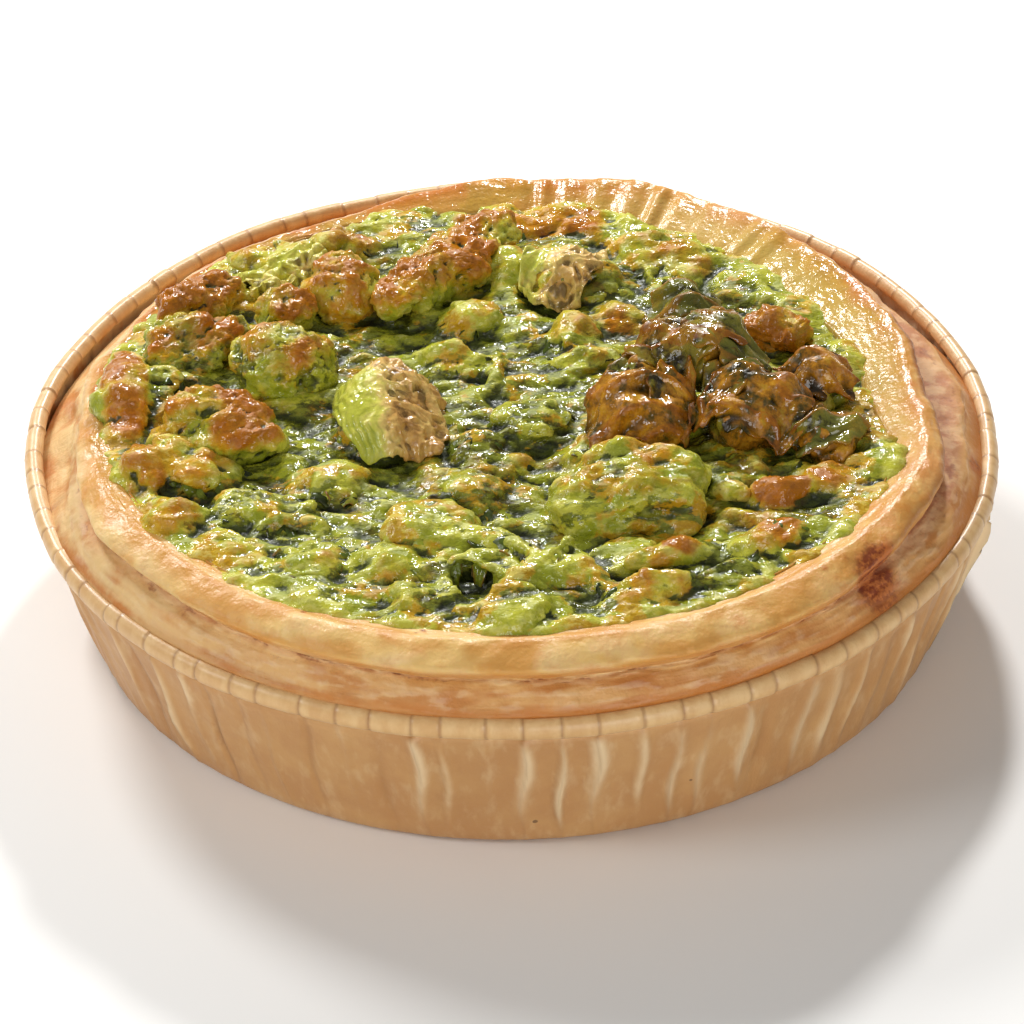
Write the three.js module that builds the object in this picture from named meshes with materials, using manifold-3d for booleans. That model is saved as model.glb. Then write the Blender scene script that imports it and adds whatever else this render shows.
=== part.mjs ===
// A one-person spinach quiche in the pleated paper case it was baked in.
// Millimetres, +Z up. The origin is the centre of the flat underside of the paper case,
// with -Y towards the side that the quiche is looked at from. Azimuths run from +X towards +Y.
import * as THREE from "three";
import Module from "manifold-3d";
import { mergeVertices } from "three/addons/utils/BufferGeometryUtils.js";

const wasm = await Module();
wasm.setup();

// Paper case
const rimRadius = 60;
const caseHeight = 22.5;
const footRadius = 53.3;
const footRound = 1.1; // height of the bend between the base and the wall
const paperThickness = 0.45;
const rimBandHeight = 3;
const rimBandWidth = 1.1;
const pleatCount = 54;
const pleatDepth = 0.6;
const midWall = 8; // height at which the pleats are deepest
const outOfRound = 0.5; // how far the soft case is pulled wide across its diagonal

// Pastry shell
const crustFloor = 4;
const crustHeel = 1.9;
const crustBelly = 12;
const underRim = 19.2; // where the pastry leaves the wall of the case
const lowerLobe = 24.2;
const seamHeight = 26.2;
const seamNotch = 0.9;
const upperLobe = 27.5;
const crustSwell = 0.4;
const crustSectors = 64;
const fitGap = 0.3; // clearance that every piece keeps to its neighbour

// Filling
const fillingRings = 20;
const moundLevel = 26.6;
const edgeRamp = 16; // the filling rises from its edge to its level over this distance
const edgeFade = 3.5;
const lumpCount = 96;
const lumpReach = 48;
const lumpRadius = 4.4;
const lumpHeight = 2.2;
const grainSize = 2.4;
const grainHeight = 0.6;

// The crust's shape round the quiche, one value for each 30 degrees of azimuth from +X.
const lowerLobeRadius = [56, 53.8, 54.6, 55, 54, 54.6, 55.8, 57.4, 58.5, 58.6, 58.7, 58.3];
const upperLobeRadius = [51, 50, 51.8, 51.8, 51.4, 52.8, 52.6, 55.4, 57, 57.3, 57.9, 56.4];
const crustTop = [29.6, 29.2, 28.8, 28, 25.9, 26, 28.4, 29.2, 29.7, 29.9, 30.2, 30.3];
const lobeDrop = [0, 0, 0, 0.2, 1.9, 1.7, 0.2, 0, 0, 0, 0, 0]; // the lobes hang low at the back left
const lipRadius = [44, 42.6, 43.4, 45.4, 48.4, 49.8, 49.2, 50.3, 50.6, 51, 51.6, 50.2];
const fillingEdge = [27, 26.6, 26.2, 25.8, 25.4, 25.4, 27.6, 28, 28.2, 28.4, 28.7, 28.6];

// Lumps of custard and leaf that stand out of the filling and are one with it, front to back.
const namedLobes = [
  { at: [1, -46.6], half: [10.5, 3.4], turn: 0, rise: 2.8 },
  { at: [-10, -44], half: [6, 4], turn: -6, rise: 3 },
  { at: [16, -44.2], half: [6.6, 3.8], turn: 10, rise: 3.8 },
  { at: [23.5, -42.4], half: [6, 2.8], turn: 24, rise: 2.6 },
  { at: [4, -39], half: [8, 4.6], turn: 6, rise: 4.6 },
  { at: [12.3, -36], half: [5.6, 4.4], turn: 0, rise: 4 },
  { at: [19.3, -36], half: [2.9, 3], turn: 0, rise: 3.4 },
  { at: [-15.7, -36.6], half: [6.4, 4.8], turn: 12, rise: 3.8 },
  { at: [-25, -35.3], half: [5.6, 4.6], turn: -8, rise: 3.4 },
  { at: [-33.3, -32.2], half: [6, 4], turn: -34, rise: 3 },
  { at: [29.3, -34.5], half: [5.6, 3.8], turn: 36, rise: 3.8 },
  { at: [-8.7, -30.5], half: [5.8, 8], turn: 8, rise: 5 },
  { at: [-40.6, -25.6], half: [4.4, 5], turn: 20, rise: 3 },
  { at: [-31, -23.3], half: [7, 4.6], turn: -16, rise: 3.8 },
  { at: [32, -25], half: [3.8, 3.2], turn: 0, rise: 3.8 },
  { at: [37, -22.4], half: [4, 4], turn: 0, rise: 3 },
  { at: [26, -20.5], half: [4, 4.2], turn: 0, rise: 3.2 },
  { at: [-5, -20.9], half: [4.4, 5], turn: 0, rise: 3.6 },
  { at: [-21.7, -17.7], half: [6, 5], turn: 20, rise: 4 },
  { at: [-37.6, -15.3], half: [5, 4.4], turn: 0, rise: 3.6 },
  { at: [-44, -16], half: [3.4, 6], turn: 12, rise: 3.6 },
  { at: [-47, 0.5], half: [3.6, 11], turn: 4, rise: 4.6 },
  { at: [9.6, -13.4], half: [4.4, 4], turn: 0, rise: 3.6 },
  { at: [-3.6, -11], half: [5, 4.6], turn: 30, rise: 4 },
  { at: [-15, -5], half: [7, 9.6], turn: -12, rise: 6.4 },
  { at: [3.7, -6.5], half: [5, 4], turn: -20, rise: 3.6 },
  { at: [10.3, 8], half: [5.4, 4], turn: 10, rise: 3.6 },
  { at: [-6.2, 8], half: [6, 3.2], turn: -22, rise: 3.8 },
  { at: [8.6, 13.6], half: [4, 3.6], turn: 40, rise: 4 },
  { at: [-4.5, 17.7], half: [4.2, 3.4], turn: 16, rise: 3.8 },
  { at: [14.6, 17], half: [5, 4], turn: -30, rise: 3.2 },
  { at: [1, 28], half: [4, 4.6], turn: 0, rise: 4.6 },
  { at: [8.6, 25.6], half: [6.4, 5], turn: -20, rise: 4.4 },
  { at: [31.3, 2.6], half: [3.6, 6], turn: 0, rise: 2.6 },
  { at: [20, 31], half: [9, 4.6], turn: -34, rise: 3 },
  { at: [-22, 36], half: [12, 4.4], turn: 30, rise: 3.4 },
  { at: [4, 41], half: [12, 4], turn: -4, rise: 2.6 },
];

// Pieces that stand clear of the filling. Half sizes are across, along and up, before turn and tilt.
// The first word of a name says what the piece is made of.
const chunks = [
  { name: "leaf_petal_left", at: [16.2, -8.4, 30.4], half: [6.8, 6.4, 5], turn: 28, tilt: 26, seed: 11 },
  { name: "leaf_petal_right", at: [29.4, -10.2, 30.6], half: [5.6, 5.8, 5], turn: -18, tilt: 24, seed: 12 },
  { name: "leaf_cap", at: [23.2, -1, 33.4], half: [7.4, 4.4, 3.9], turn: -8, tilt: 14, seed: 13 },
  { name: "leaf_dark_edge", at: [38, -14.4, 28.8], half: [5.2, 4.6, 3.6], turn: 34, tilt: 16, seed: 14 },
  { name: "leaf_golden_right", at: [37.4, -3.4, 28.8], half: [3.8, 4.2, 3], turn: -20, tilt: 12, seed: 21 },
  { name: "browned_nub", at: [34.2, 9.8, 28.8], half: [4.1, 2.9, 2.8], turn: -18, tilt: 8, seed: 15 },
  { name: "leaf_dark_back", at: [22.6, 14.4, 28.6], half: [4.2, 4.2, 3.4], turn: 10, tilt: 20, seed: 16 },
  { name: "floret_back", at: [-7, 27.6, 29], half: [12.6, 4.6, 4.2], turn: 47, tilt: 16, seed: 17 },
  { name: "browned_tip_rear", at: [-20.6, 23.4, 29], half: [5.2, 4.4, 4], turn: 30, tilt: 26, seed: 18 },
  { name: "browned_tip_left", at: [-27.4, 18.4, 28.8], half: [4.2, 3.6, 3.2], turn: 20, tilt: 20, seed: 22 },
  { name: "floret_left_rear", at: [-38, 22.2, 28], half: [6.2, 3.8, 3.2], turn: 34, tilt: 10, seed: 19 },
  { name: "floret_left_middle", at: [-39, 12, 28.4], half: [7, 4.8, 4], turn: 14, tilt: 18, seed: 23 },
  { name: "floret_left_inner", at: [-27.6, 6.4, 29], half: [6.6, 5.2, 4.2], turn: 8, tilt: 20, seed: 20 },
  { name: "floret_left_front", at: [-36, -7.6, 29], half: [8.4, 5.2, 4], turn: -14, tilt: 18, seed: 24 },
  { name: "custard_lobe_centre", at: [14.6, -24.4, 28.8], half: [9.2, 7.2, 4], turn: 4, tilt: 10, seed: 25 },
];

// Leaves that lie over the filling: a thin wavy sheet each, with ribs along it.
const leaves = [
  { name: "leaf_stalk_upright", at: [-14.6, -4.6], length: 18, width: 14, turn: 100, ribs: 5 },
  { name: "leaf_crinkled_rear", at: [7.4, 26], length: 13, width: 10, turn: 66, ribs: 4 },
  { name: "leaf_ribbed_rear_left", at: [-29.6, 29], length: 15, width: 6, turn: 34, ribs: 3 },
];
const leafThickness = 0.9;
const leafClearance = 0.7;
const leafWave = 0.45;
const leafTaper = 0.62; // how much narrower a leaf is at its ends, as a share of the square
const leafSteps = [7, 6];
const chunkDetail = 2;
const chunkCrag = 0.17;
const chunkCrease = 0.12;

const radians = THREE.MathUtils.degToRad;
const lerp = THREE.MathUtils.lerp;
const smoothstep = THREE.MathUtils.smoothstep;

// A repeatable draw between 0 and 1 for a whole-number key.
function draw(key) {
  let mixed = (key + 1) * 0x9e3779b1;
  mixed = Math.imul(mixed ^ (mixed >>> 16), 0x85ebca6b);
  mixed = Math.imul(mixed ^ (mixed >>> 13), 0xc2b2ae35);
  return ((mixed ^ (mixed >>> 16)) >>> 0) / 4294967296;
}

// Smooth noise from -1 to 1 over space, its features about one unit across.
function noise(x, y, z, seed = 0) {
  const corner = [Math.floor(x), Math.floor(y), Math.floor(z)];
  const blend = [x, y, z].map((value, axis) => smoothstep(value - corner[axis], 0, 1));
  let sum = 0;
  for (let bits = 0; bits < 8; bits++) {
    const step = [bits & 1, (bits >> 1) & 1, bits >> 2];
    const weight = step.reduce((all, on, axis) => all * (on ? blend[axis] : 1 - blend[axis]), 1);
    const cell = corner.map((value, axis) => value + step[axis]);
    sum += weight * draw(cell[0] * 73 + cell[1] * 1543 + cell[2] * 32749 + seed * 7907);
  }
  return 2 * sum - 1;
}

// A value from a list that goes round the quiche in equal steps of azimuth.
function around(list, azimuth) {
  const place = ((azimuth / (2 * Math.PI) + 1) % 1) * list.length;
  const index = Math.floor(place) % list.length;
  const share = smoothstep(place - Math.floor(place), 0, 1);
  return lerp(list[index], list[(index + 1) % list.length], share);
}

// The case was pressed by hand, so each radius on it varies a little and evenly either side.
function wobble(azimuth) {
  return (outOfRound * Math.cos(2 * (azimuth + Math.PI / 4))) / rimRadius + 1;
}

function onCircle(radius, azimuth, height) {
  return new THREE.Vector3(radius * Math.cos(azimuth), radius * Math.sin(azimuth), height);
}

// Joins rings of equal length into one closed skin, with a pole at its start and end.
function closedSkin(rings, startPole, endPole) {
  const sectors = rings[0].length;
  const points = [...rings.flat(), startPole, endPole];
  const start = points.length - 2;
  const end = points.length - 1;
  const last = (rings.length - 1) * sectors;
  const faces = [];
  for (let i = 0; i < sectors; i++) {
    const next = (i + 1) % sectors;
    faces.push(start, next, i, last + i, last + next, end);
    for (let row = 0; row < last; row += sectors) {
      faces.push(row + i, row + next, row + sectors + next);
      faces.push(row + i, row + sectors + next, row + sectors + i);
    }
  }
  return new THREE.BufferGeometry().setFromPoints(points).setIndex(faces);
}

// Radius of the case's outer face at a height, with no pleat.
function caseRadius(height) {
  const share = THREE.MathUtils.clamp(height / (caseHeight - rimBandHeight), 0, 1);
  return lerp(footRadius, rimRadius - rimBandWidth, share);
}

// The wall's outer face goes up from the base, round the rolled band and down inside.
function paperCase() {
  const underBand = caseHeight - rimBandHeight;
  const bandEdge = 0.3;
  const outer = [
    { r: footRadius - 0.9, z: 0, fold: 0 },
    { r: caseRadius(footRound), z: footRound, fold: 0.5 },
    { r: caseRadius(midWall), z: midWall, fold: 1 },
    { r: caseRadius(underBand) - 0.1, z: underBand, fold: 0.6 },
  ];
  const band = [
    { r: rimRadius, z: underBand + bandEdge, fold: 0.15 },
    { r: rimRadius, z: caseHeight - bandEdge, fold: 0.15 },
    { r: rimRadius - rimBandWidth, z: caseHeight, fold: 0.15 },
  ];
  const inner = [...outer].reverse().map(({ r, z, fold }) => ({
    r: r - (z ? paperThickness : 2 * paperThickness),
    z: Math.max(z, paperThickness),
    fold,
  }));
  const rings = [...outer, ...band, ...inner].map(({ r, z, fold }) =>
    Array.from({ length: 2 * pleatCount }, (_, i) => {
      const azimuth = (i * Math.PI) / pleatCount;
      const pleat = (i % 2 ? -0.5 : 0.5) * pleatDepth * fold;
      return onCircle((r + pleat) * wobble(azimuth), azimuth, z);
    }),
  );
  return closedSkin(rings, onCircle(0, 0, 0), onCircle(0, 0, paperThickness));
}

// The pastry stands inside the pleats, rises over the rim as two lobes with a flaky seam between
// them, and turns down to the filling at its lip.
function crustProfile(azimuth) {
  const inCase = (z) => caseRadius(z) - paperThickness - pleatDepth / 2 - fitGap;
  const floor = paperThickness + fitGap;
  const lower = around(lowerLobeRadius, azimuth);
  const upper = around(upperLobeRadius, azimuth);
  const top = around(crustTop, azimuth);
  const lip = around(lipRadius, azimuth);
  const edge = around(fillingEdge, azimuth);
  const drop = around(lobeDrop, azimuth);
  const wall = Math.min(lower, inCase(underRim));
  const crest = Math.max(upper - 3.3, lip + 1.6);
  const outside = [
    [inCase(0) - 1.6, floor],
    [inCase(crustHeel), crustHeel],
    [Math.min(inCase(crustBelly), wall), crustBelly],
    [wall, underRim],
    [lower - 0.35, lowerLobe - 1.3 - drop],
  ];
  const lobes = [
    [lower + 0.1, lowerLobe - drop],
    [lower - 0.8, lowerLobe + 1.4 - drop],
    [Math.min(upper, lower) - seamNotch, seamHeight - drop],
    [upper, upperLobe - drop - 0.3 * drop],
    [upper - 1.2, top - 0.5],
    [crest, top],
    [lerp(crest, lip, 0.6), lerp(top, edge + 0.7, 0.35)],
  ];
  const inside = [
    [lip, edge + 0.5],
    [lip - 0.7, edge - 1.2],
    [lip - 3, 8],
    [lip - 5, floor + crustFloor],
  ];
  const even = (points) => points.map(([r, z]) => ({ r, z, swell: 0 }));
  const uneven = lobes.map(([r, z]) => ({ r: r - crustSwell, z, swell: crustSwell }));
  return [...even(outside), ...uneven, ...even(inside)];
}

function pastryCrust() {
  const sections = Array.from({ length: crustSectors }, (_, i) => {
    const azimuth = (i * 2 * Math.PI) / crustSectors;
    return crustProfile(azimuth).map(({ r, z, swell }, step) => {
      const bulge = swell * noise(9 * Math.cos(azimuth), 9 * Math.sin(azimuth), step / 3, 3);
      return onCircle((r + bulge) * wobble(azimuth), azimuth, z + bulge / 2);
    });
  });
  const rings = sections[0].map((_, step) => sections.map((section) => section[step]));
  const floor = paperThickness + fitGap;
  return closedSkin(rings, onCircle(0, 0, floor), onCircle(0, 0, floor + crustFloor));
}

// Small lumps over the whole filling, set out as seeds in a sunflower with a seeded scatter.
const seededLumps = Array.from({ length: lumpCount }, (_, i) => {
  const radius = lumpReach * Math.sqrt((i + 0.5) / lumpCount) + 2.4 * (draw(4 * i) - 0.5);
  const azimuth = i * Math.PI * (3 - Math.sqrt(5)) + 0.3 * (draw(4 * i + 1) - 0.5);
  const size = lumpRadius * lerp(0.75, 1.25, draw(4 * i + 2));
  return {
    at: [radius * Math.cos(azimuth), radius * Math.sin(azimuth)],
    half: [size, size * 0.75],
    turn: 180 * draw(4 * i + 3),
    rise: lumpHeight * lerp(0.5, 1.2, draw(9000 + i)),
  };
});

// How high a lobe stands above the filling's level at a point.
function lobeRise({ at, half, turn, rise }, x, y) {
  const angle = radians(turn);
  const across = ((x - at[0]) * Math.cos(angle) + (y - at[1]) * Math.sin(angle)) / half[0];
  const along = ((y - at[1]) * Math.cos(angle) - (x - at[0]) * Math.sin(angle)) / half[1];
  return rise * Math.sqrt(Math.max(0, 1 - across * across - along * along));
}

function fillingHeight(x, y) {
  const azimuth = Math.atan2(y, x);
  const toEdge = around(lipRadius, azimuth) * wobble(azimuth) - Math.hypot(x, y);
  const edge = around(fillingEdge, azimuth) - 0.6;
  const level = lerp(edge, moundLevel, smoothstep(toEdge, 0, edgeRamp));
  const free = smoothstep(toEdge, 0, edgeFade);
  const rise = Math.max(...[...seededLumps, ...namedLobes].map((lobe) => lobeRise(lobe, x, y)));
  return level + free * (rise - 1 + grainHeight * noise(x / grainSize, y / grainSize, 0, 5));
}

// The filling's top is a disc of concentric hexagonal rings, so its triangles are all of one size.
function fillingBody() {
  const sectors = 6 * fillingRings;
  const sideGap = fitGap + 0.25; // the crust's own chords stand a little inside its curve
  const bottom = paperThickness + crustFloor + 2 * fitGap + 0.2;
  const rimInset = 0.7 + sideGap;
  const topPoint = (azimuth, share) => {
    const reach = (around(lipRadius, azimuth) - rimInset) * wobble(azimuth);
    const point = onCircle(reach * share, azimuth, 0);
    point.z = fillingHeight(point.x, point.y);
    return point;
  };
  const ringAt = (pointAt) =>
    Array.from({ length: sectors }, (_, i) => pointAt((i * 2 * Math.PI) / sectors));
  const wallPoint = (inset, height) => (azimuth) =>
    onCircle((around(lipRadius, azimuth) - inset - sideGap) * wobble(azimuth), azimuth, height);
  const side = [
    ringAt(wallPoint(5, bottom)),
    ringAt(wallPoint(3, 8.4)),
    ringAt((azimuth) => topPoint(azimuth, 1)),
  ];
  const points = [onCircle(0, 0, side[0][0].z), ...side.flat()];
  const faces = [];
  for (let i = 0; i < sectors; i++) {
    const next = (i + 1) % sectors;
    faces.push(0, 1 + next, 1 + i);
    for (let row = 0; row < side.length - 1; row++) {
      const low = 1 + row * sectors;
      faces.push(low + i, low + next, low + sectors + next);
      faces.push(low + i, low + sectors + next, low + sectors + i);
    }
  }
  let outer = 1 + (side.length - 1) * sectors;
  for (let ring = fillingRings - 1; ring >= 0; ring--) {
    const inner = points.length;
    const outerCount = 6 * (ring + 1);
    const innerCount = Math.max(1, 6 * ring);
    for (let i = 0; i < innerCount; i++)
      points.push(topPoint((i * 2 * Math.PI) / innerCount, ring / fillingRings));
    for (let sixth = 0; sixth < 6; sixth++) {
      for (let i = 0; i <= ring; i++) {
        const out = sixth * (ring + 1) + i;
        const into = sixth * ring + i;
        faces.push(outer + out, outer + ((out + 1) % outerCount), inner + (into % innerCount));
        if (i < ring)
          faces.push(
            outer + ((out + 1) % outerCount),
            inner + ((into + 1) % innerCount),
            inner + (into % innerCount),
          );
      }
    }
    outer = inner;
  }
  return new THREE.BufferGeometry().setFromPoints(points).setIndex(faces);
}

// A craggy lump: a ball pushed in and out by noise, squeezed to its half sizes and set in place.
function craggyChunk({ at, half, turn, tilt, seed }, grow = 0) {
  const geometry = new THREE.IcosahedronGeometry(1, chunkDetail);
  const position = geometry.getAttribute("position");
  const point = new THREE.Vector3();
  for (let i = 0; i < position.count; i++) {
    point.fromBufferAttribute(position, i);
    const crag = chunkCrag * noise(2 * point.x, 2 * point.y, 2 * point.z, seed);
    const crease = chunkCrease * noise(4.4 * point.x, 4.4 * point.y, 4.4 * point.z, seed + 50);
    point.multiplyScalar(1 + crag + crease);
    position.setXYZ(i, ...point.toArray().map((value, axis) => value * (half[axis] + grow)));
  }
  const placed = new THREE.Matrix4()
    .makeRotationZ(radians(turn))
    .multiply(new THREE.Matrix4().makeRotationX(radians(tilt)))
    .setPosition(...at);
  return geometry.applyMatrix4(placed);
}

// A leaf laid over the filling: both faces share one grid, and the rim joins them.
function drapedLeaf({ at, length, width, turn, ribs }, grow = 0) {
  const [steps, rows] = leafSteps;
  const angle = radians(turn);
  const placed = (u, v, spare) => {
    const along = (length / 2 + spare) * u;
    const across = (width / 2 + spare) * v * Math.sqrt(1 - leafTaper * u * u);
    const x = at[0] + along * Math.cos(angle) - across * Math.sin(angle);
    const y = at[1] + along * Math.sin(angle) + across * Math.cos(angle);
    return new THREE.Vector3(x, y, 0);
  };
  const face = (lift) =>
    Array.from({ length: (steps + 1) * (rows + 1) }, (_, n) => {
      const u = (2 * (n % (steps + 1))) / steps - 1;
      const v = (2 * Math.floor(n / (steps + 1))) / rows - 1;
      const under = placed(u, v, 0);
      const wave = leafWave * Math.cos(ribs * Math.PI * v) + leafWave;
      const height = fillingHeight(under.x, under.y) + leafClearance + wave;
      return placed(u, v, grow).setZ(height + lift);
    });
  const points = [...face(-3 * grow), ...face(leafThickness + 3 * grow)];
  const half = points.length / 2;
  const faces = [];
  for (let row = 0; row < rows; row++)
    for (let step = 0; step < steps; step++) {
      const a = row * (steps + 1) + step;
      const b = a + steps + 1;
      faces.push(a, b + 1, a + 1, a, b, b + 1);
      faces.push(half + a, half + a + 1, half + b + 1, half + a, half + b + 1, half + b);
    }
  const edge = [];
  for (let step = 0; step < steps; step++) edge.push(step);
  for (let row = 0; row < rows; row++) edge.push(row * (steps + 1) + steps);
  for (let step = steps; step > 0; step--) edge.push(rows * (steps + 1) + step);
  for (let row = rows; row > 0; row--) edge.push(row * (steps + 1));
  edge.forEach((a, i) => {
    const b = edge[(i + 1) % edge.length];
    faces.push(a, b, half + b, a, half + b, half + a);
  });
  return new THREE.BufferGeometry().setFromPoints(points).setIndex(faces);
}

function toSolid(geometry) {
  const bare = geometry.clone();
  bare.deleteAttribute("normal");
  bare.deleteAttribute("uv");
  const merged = mergeVertices(bare, 1e-3);
  return new wasm.Manifold(
    new wasm.Mesh({
      numProp: 3,
      vertProperties: merged.getAttribute("position").array,
      triVerts: new Uint32Array(merged.index.array),
    }),
  );
}

// The largest body of a solid, as a geometry: a cut can leave a loose scrap.
function toGeometry(solid) {
  const bodies = solid.decompose();
  const largest = bodies.reduce((best, body) => (body.volume() > best.volume() ? body : best));
  const { vertProperties, triVerts } = largest.getMesh();
  return new THREE.BufferGeometry()
    .setAttribute("position", new THREE.BufferAttribute(new Float32Array(vertProperties), 3))
    .setIndex(new THREE.BufferAttribute(new Uint32Array(triVerts), 1));
}

const paper = new THREE.MeshStandardMaterial({ color: 0xd9ab6c, roughness: 0.55, metalness: 0 });
const pastry = new THREE.MeshStandardMaterial({ color: 0xe3a95c, roughness: 0.5, metalness: 0 });
const custard = new THREE.MeshStandardMaterial({ color: 0x9aa03a, roughness: 0.3, metalness: 0 });
const leafGreen = new THREE.MeshStandardMaterial({ color: 0x5d6b26, roughness: 0.3, metalness: 0 });
const browned = new THREE.MeshStandardMaterial({ color: 0xb5702a, roughness: 0.35, metalness: 0 });

const quiche = new THREE.Group();

function addPiece(name, geometry, material) {
  const mesh = new THREE.Mesh(geometry, material);
  mesh.name = name;
  quiche.add(mesh);
}

addPiece("paper_case", paperCase(), paper);
addPiece("pastry_crust", pastryCrust(), pastry);

// Each topping is cut back from those set in before it, and the filling has a pocket for each.
let filling = toSolid(fillingBody());
let taken = null;
function setIn(name, whole, pocket, material) {
  const fitted = taken ? whole.subtract(taken) : whole;
  filling = filling.subtract(pocket);
  taken = taken ? taken.add(pocket) : pocket;
  addPiece(name, toGeometry(fitted), material);
}
const topColors = { leaf: leafGreen, custard, floret: browned, browned };
for (const chunk of chunks) {
  const pocket = toSolid(craggyChunk(chunk, 1.6 * fitGap));
  setIn(chunk.name, toSolid(craggyChunk(chunk)), pocket, topColors[chunk.name.split("_")[0]]);
}
for (const leaf of leaves)
  setIn(leaf.name, toSolid(drapedLeaf(leaf)), toSolid(drapedLeaf(leaf, fitGap)), leafGreen);
addPiece("spinach_filling", toGeometry(filling), custard);

export default quiche;
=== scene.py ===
import math
import random

import bmesh
import bpy
import numpy as np
from mathutils import Matrix, Vector, noise


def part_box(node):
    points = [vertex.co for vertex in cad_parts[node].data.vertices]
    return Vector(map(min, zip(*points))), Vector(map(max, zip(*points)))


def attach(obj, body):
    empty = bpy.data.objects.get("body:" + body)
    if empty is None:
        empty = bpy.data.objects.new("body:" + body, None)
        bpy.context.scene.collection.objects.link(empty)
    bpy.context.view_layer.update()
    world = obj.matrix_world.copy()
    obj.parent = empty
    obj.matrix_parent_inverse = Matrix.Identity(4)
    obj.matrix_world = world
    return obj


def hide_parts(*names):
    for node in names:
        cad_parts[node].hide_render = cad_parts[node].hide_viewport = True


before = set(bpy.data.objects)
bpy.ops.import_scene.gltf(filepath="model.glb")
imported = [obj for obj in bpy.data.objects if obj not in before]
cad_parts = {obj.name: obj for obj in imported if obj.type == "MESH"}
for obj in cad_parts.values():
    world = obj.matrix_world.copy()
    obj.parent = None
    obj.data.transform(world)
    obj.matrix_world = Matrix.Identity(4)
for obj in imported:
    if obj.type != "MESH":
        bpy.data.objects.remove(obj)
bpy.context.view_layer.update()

# A one-person spinach quiche in its pleated paper case. Lengths in the dictionaries are millimetres,
# and azimuths go round from +X in degrees.
mm = 0.001
noise.seed_set(7)  # otherwise noise_vector starts from the clock, and every run has other folds


# Camera

cameraValues = {
    "distance": 600,  # from the middle of the case's underside
    "elevation": 35.75,
    "aim": (-0.15, 14.3, 0),
    "roll": 2.17,
    "lens": 167.2,
}


def makeCamera(values):
    up = math.radians(values["elevation"])
    place = Vector((0, -math.cos(up), math.sin(up))) * values["distance"] * mm
    look = (Vector(values["aim"]) * mm - place).to_track_quat("-Z", "Y").to_matrix().to_4x4()
    roll = Matrix.Rotation(math.radians(-values["roll"]), 4, "Z")
    bpy.ops.object.camera_add(location=place)
    camera = bpy.context.object
    camera.matrix_world = Matrix.Translation(place) @ look @ roll
    camera.data.lens = values["lens"]
    camera.data.clip_start = 0.01
    bpy.context.scene.camera = camera


makeCamera(cameraValues)
print("camera placed")


# Mesh helpers

def only(piece):  # leaves one object selected and active
    bpy.ops.object.select_all(action="DESELECT")
    piece.select_set(True)
    bpy.context.view_layer.objects.active = piece


def applyModifier(piece, kind, **settings):
    only(piece)
    modifier = piece.modifiers.new(kind.title(), kind)
    for name, value in settings.items():
        setattr(modifier, name, value)
    bpy.ops.object.modifier_apply(modifier=modifier.name)


def readPlaces(piece):  # vertices in millimetres
    flat = np.empty(len(piece.data.vertices) * 3)
    piece.data.vertices.foreach_get("co", flat)
    return flat.reshape(-1, 3) / mm


def writePlaces(piece, places):
    piece.data.vertices.foreach_set("co", (places * mm).ravel())
    piece.data.update()


def readNormals(piece):
    flat = np.empty(len(piece.data.vertices) * 3)
    piece.data.vertices.foreach_get("normal", flat)
    return flat.reshape(-1, 3)


def setMark(piece, name, values):  # a number at each vertex, which the materials read
    mark = piece.data.attributes.new(name, "FLOAT", "POINT")
    mark.data.foreach_set("value", np.asarray(values, dtype=np.float32))


def noiseAt(places, size, shift=0):
    return np.array([noise.noise(point) for point in (places / size + shift * 17.3).tolist()])


# rounded folds, 0 in the creases between them, and warp is how far they wander
def foldsAt(places, size, shift, stretch=(1, 1, 1), warp=0.7):
    bend = np.array([noise.noise_vector(point) for point in (places / (1.6 * size) + shift * 3.7).tolist()])
    warped = (places + warp * size * bend) * np.array(stretch)
    return np.minimum(1, 2.4 * np.abs(noiseAt(warped, size, shift)))


def pushOut(piece, distance):  # moves each vertex along its normal
    writePlaces(piece, readPlaces(piece) + readNormals(piece) * distance[:, None])


def foldSurface(piece, size, depth, stretch, sharpness):  # from rounded folds, 0, to crumpled ridges, 1
    places = smoothed(piece, readPlaces(piece), 1)
    writePlaces(piece, places)
    rounded = foldsAt(places, size, depth, stretch) - 0.4
    ridged = 0.5 - foldsAt(places + 5 * size, size, depth, stretch)
    pushOut(piece, depth * ((1 - sharpness) * rounded + sharpness * ridged))


def ramp(values, low, high):  # 0 at low, 1 at high, with soft ends
    share = np.clip((values - low) / (high - low), 0, 1)
    return share * share * (3 - 2 * share)


def hump(values, middle, width):  # 1 at the middle, fading over the width on both sides
    return np.exp(-(((values - middle) / width) ** 2))


def smoothed(piece, places, rounds):  # each round moves a vertex towards the middle of its neighbours
    edges = np.empty(len(piece.data.edges) * 2, dtype=np.int64)
    piece.data.edges.foreach_get("vertices", edges)
    first, second = edges.reshape(-1, 2).T
    count = len(places)
    neighbours = np.maximum(np.bincount(first, minlength=count) + np.bincount(second, minlength=count), 1)
    result = places.copy()
    for _ in range(rounds):
        for axis in range(3):
            column = result[:, axis]
            total = np.bincount(first, column[second], count) + np.bincount(second, column[first], count)
            result[:, axis] = 0.5 * column + 0.5 * total / neighbours
    return result


def markRelief(piece, fine=12, broad=90):  # how far each vertex stands out of the surface round it, in mm
    places = readPlaces(piece)
    normals = readNormals(piece)
    near = smoothed(piece, places, fine)
    far = smoothed(piece, near, broad)
    setMark(piece, "crag", ((places - near) * normals).sum(1))
    setMark(piece, "relief", ((near - far) * normals).sum(1))


def joined(pieces):
    bpy.ops.object.select_all(action="DESELECT")
    for piece in pieces:
        piece.select_set(True)
    bpy.context.view_layer.objects.active = pieces[0]
    bpy.ops.object.join()
    return bpy.context.object


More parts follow.
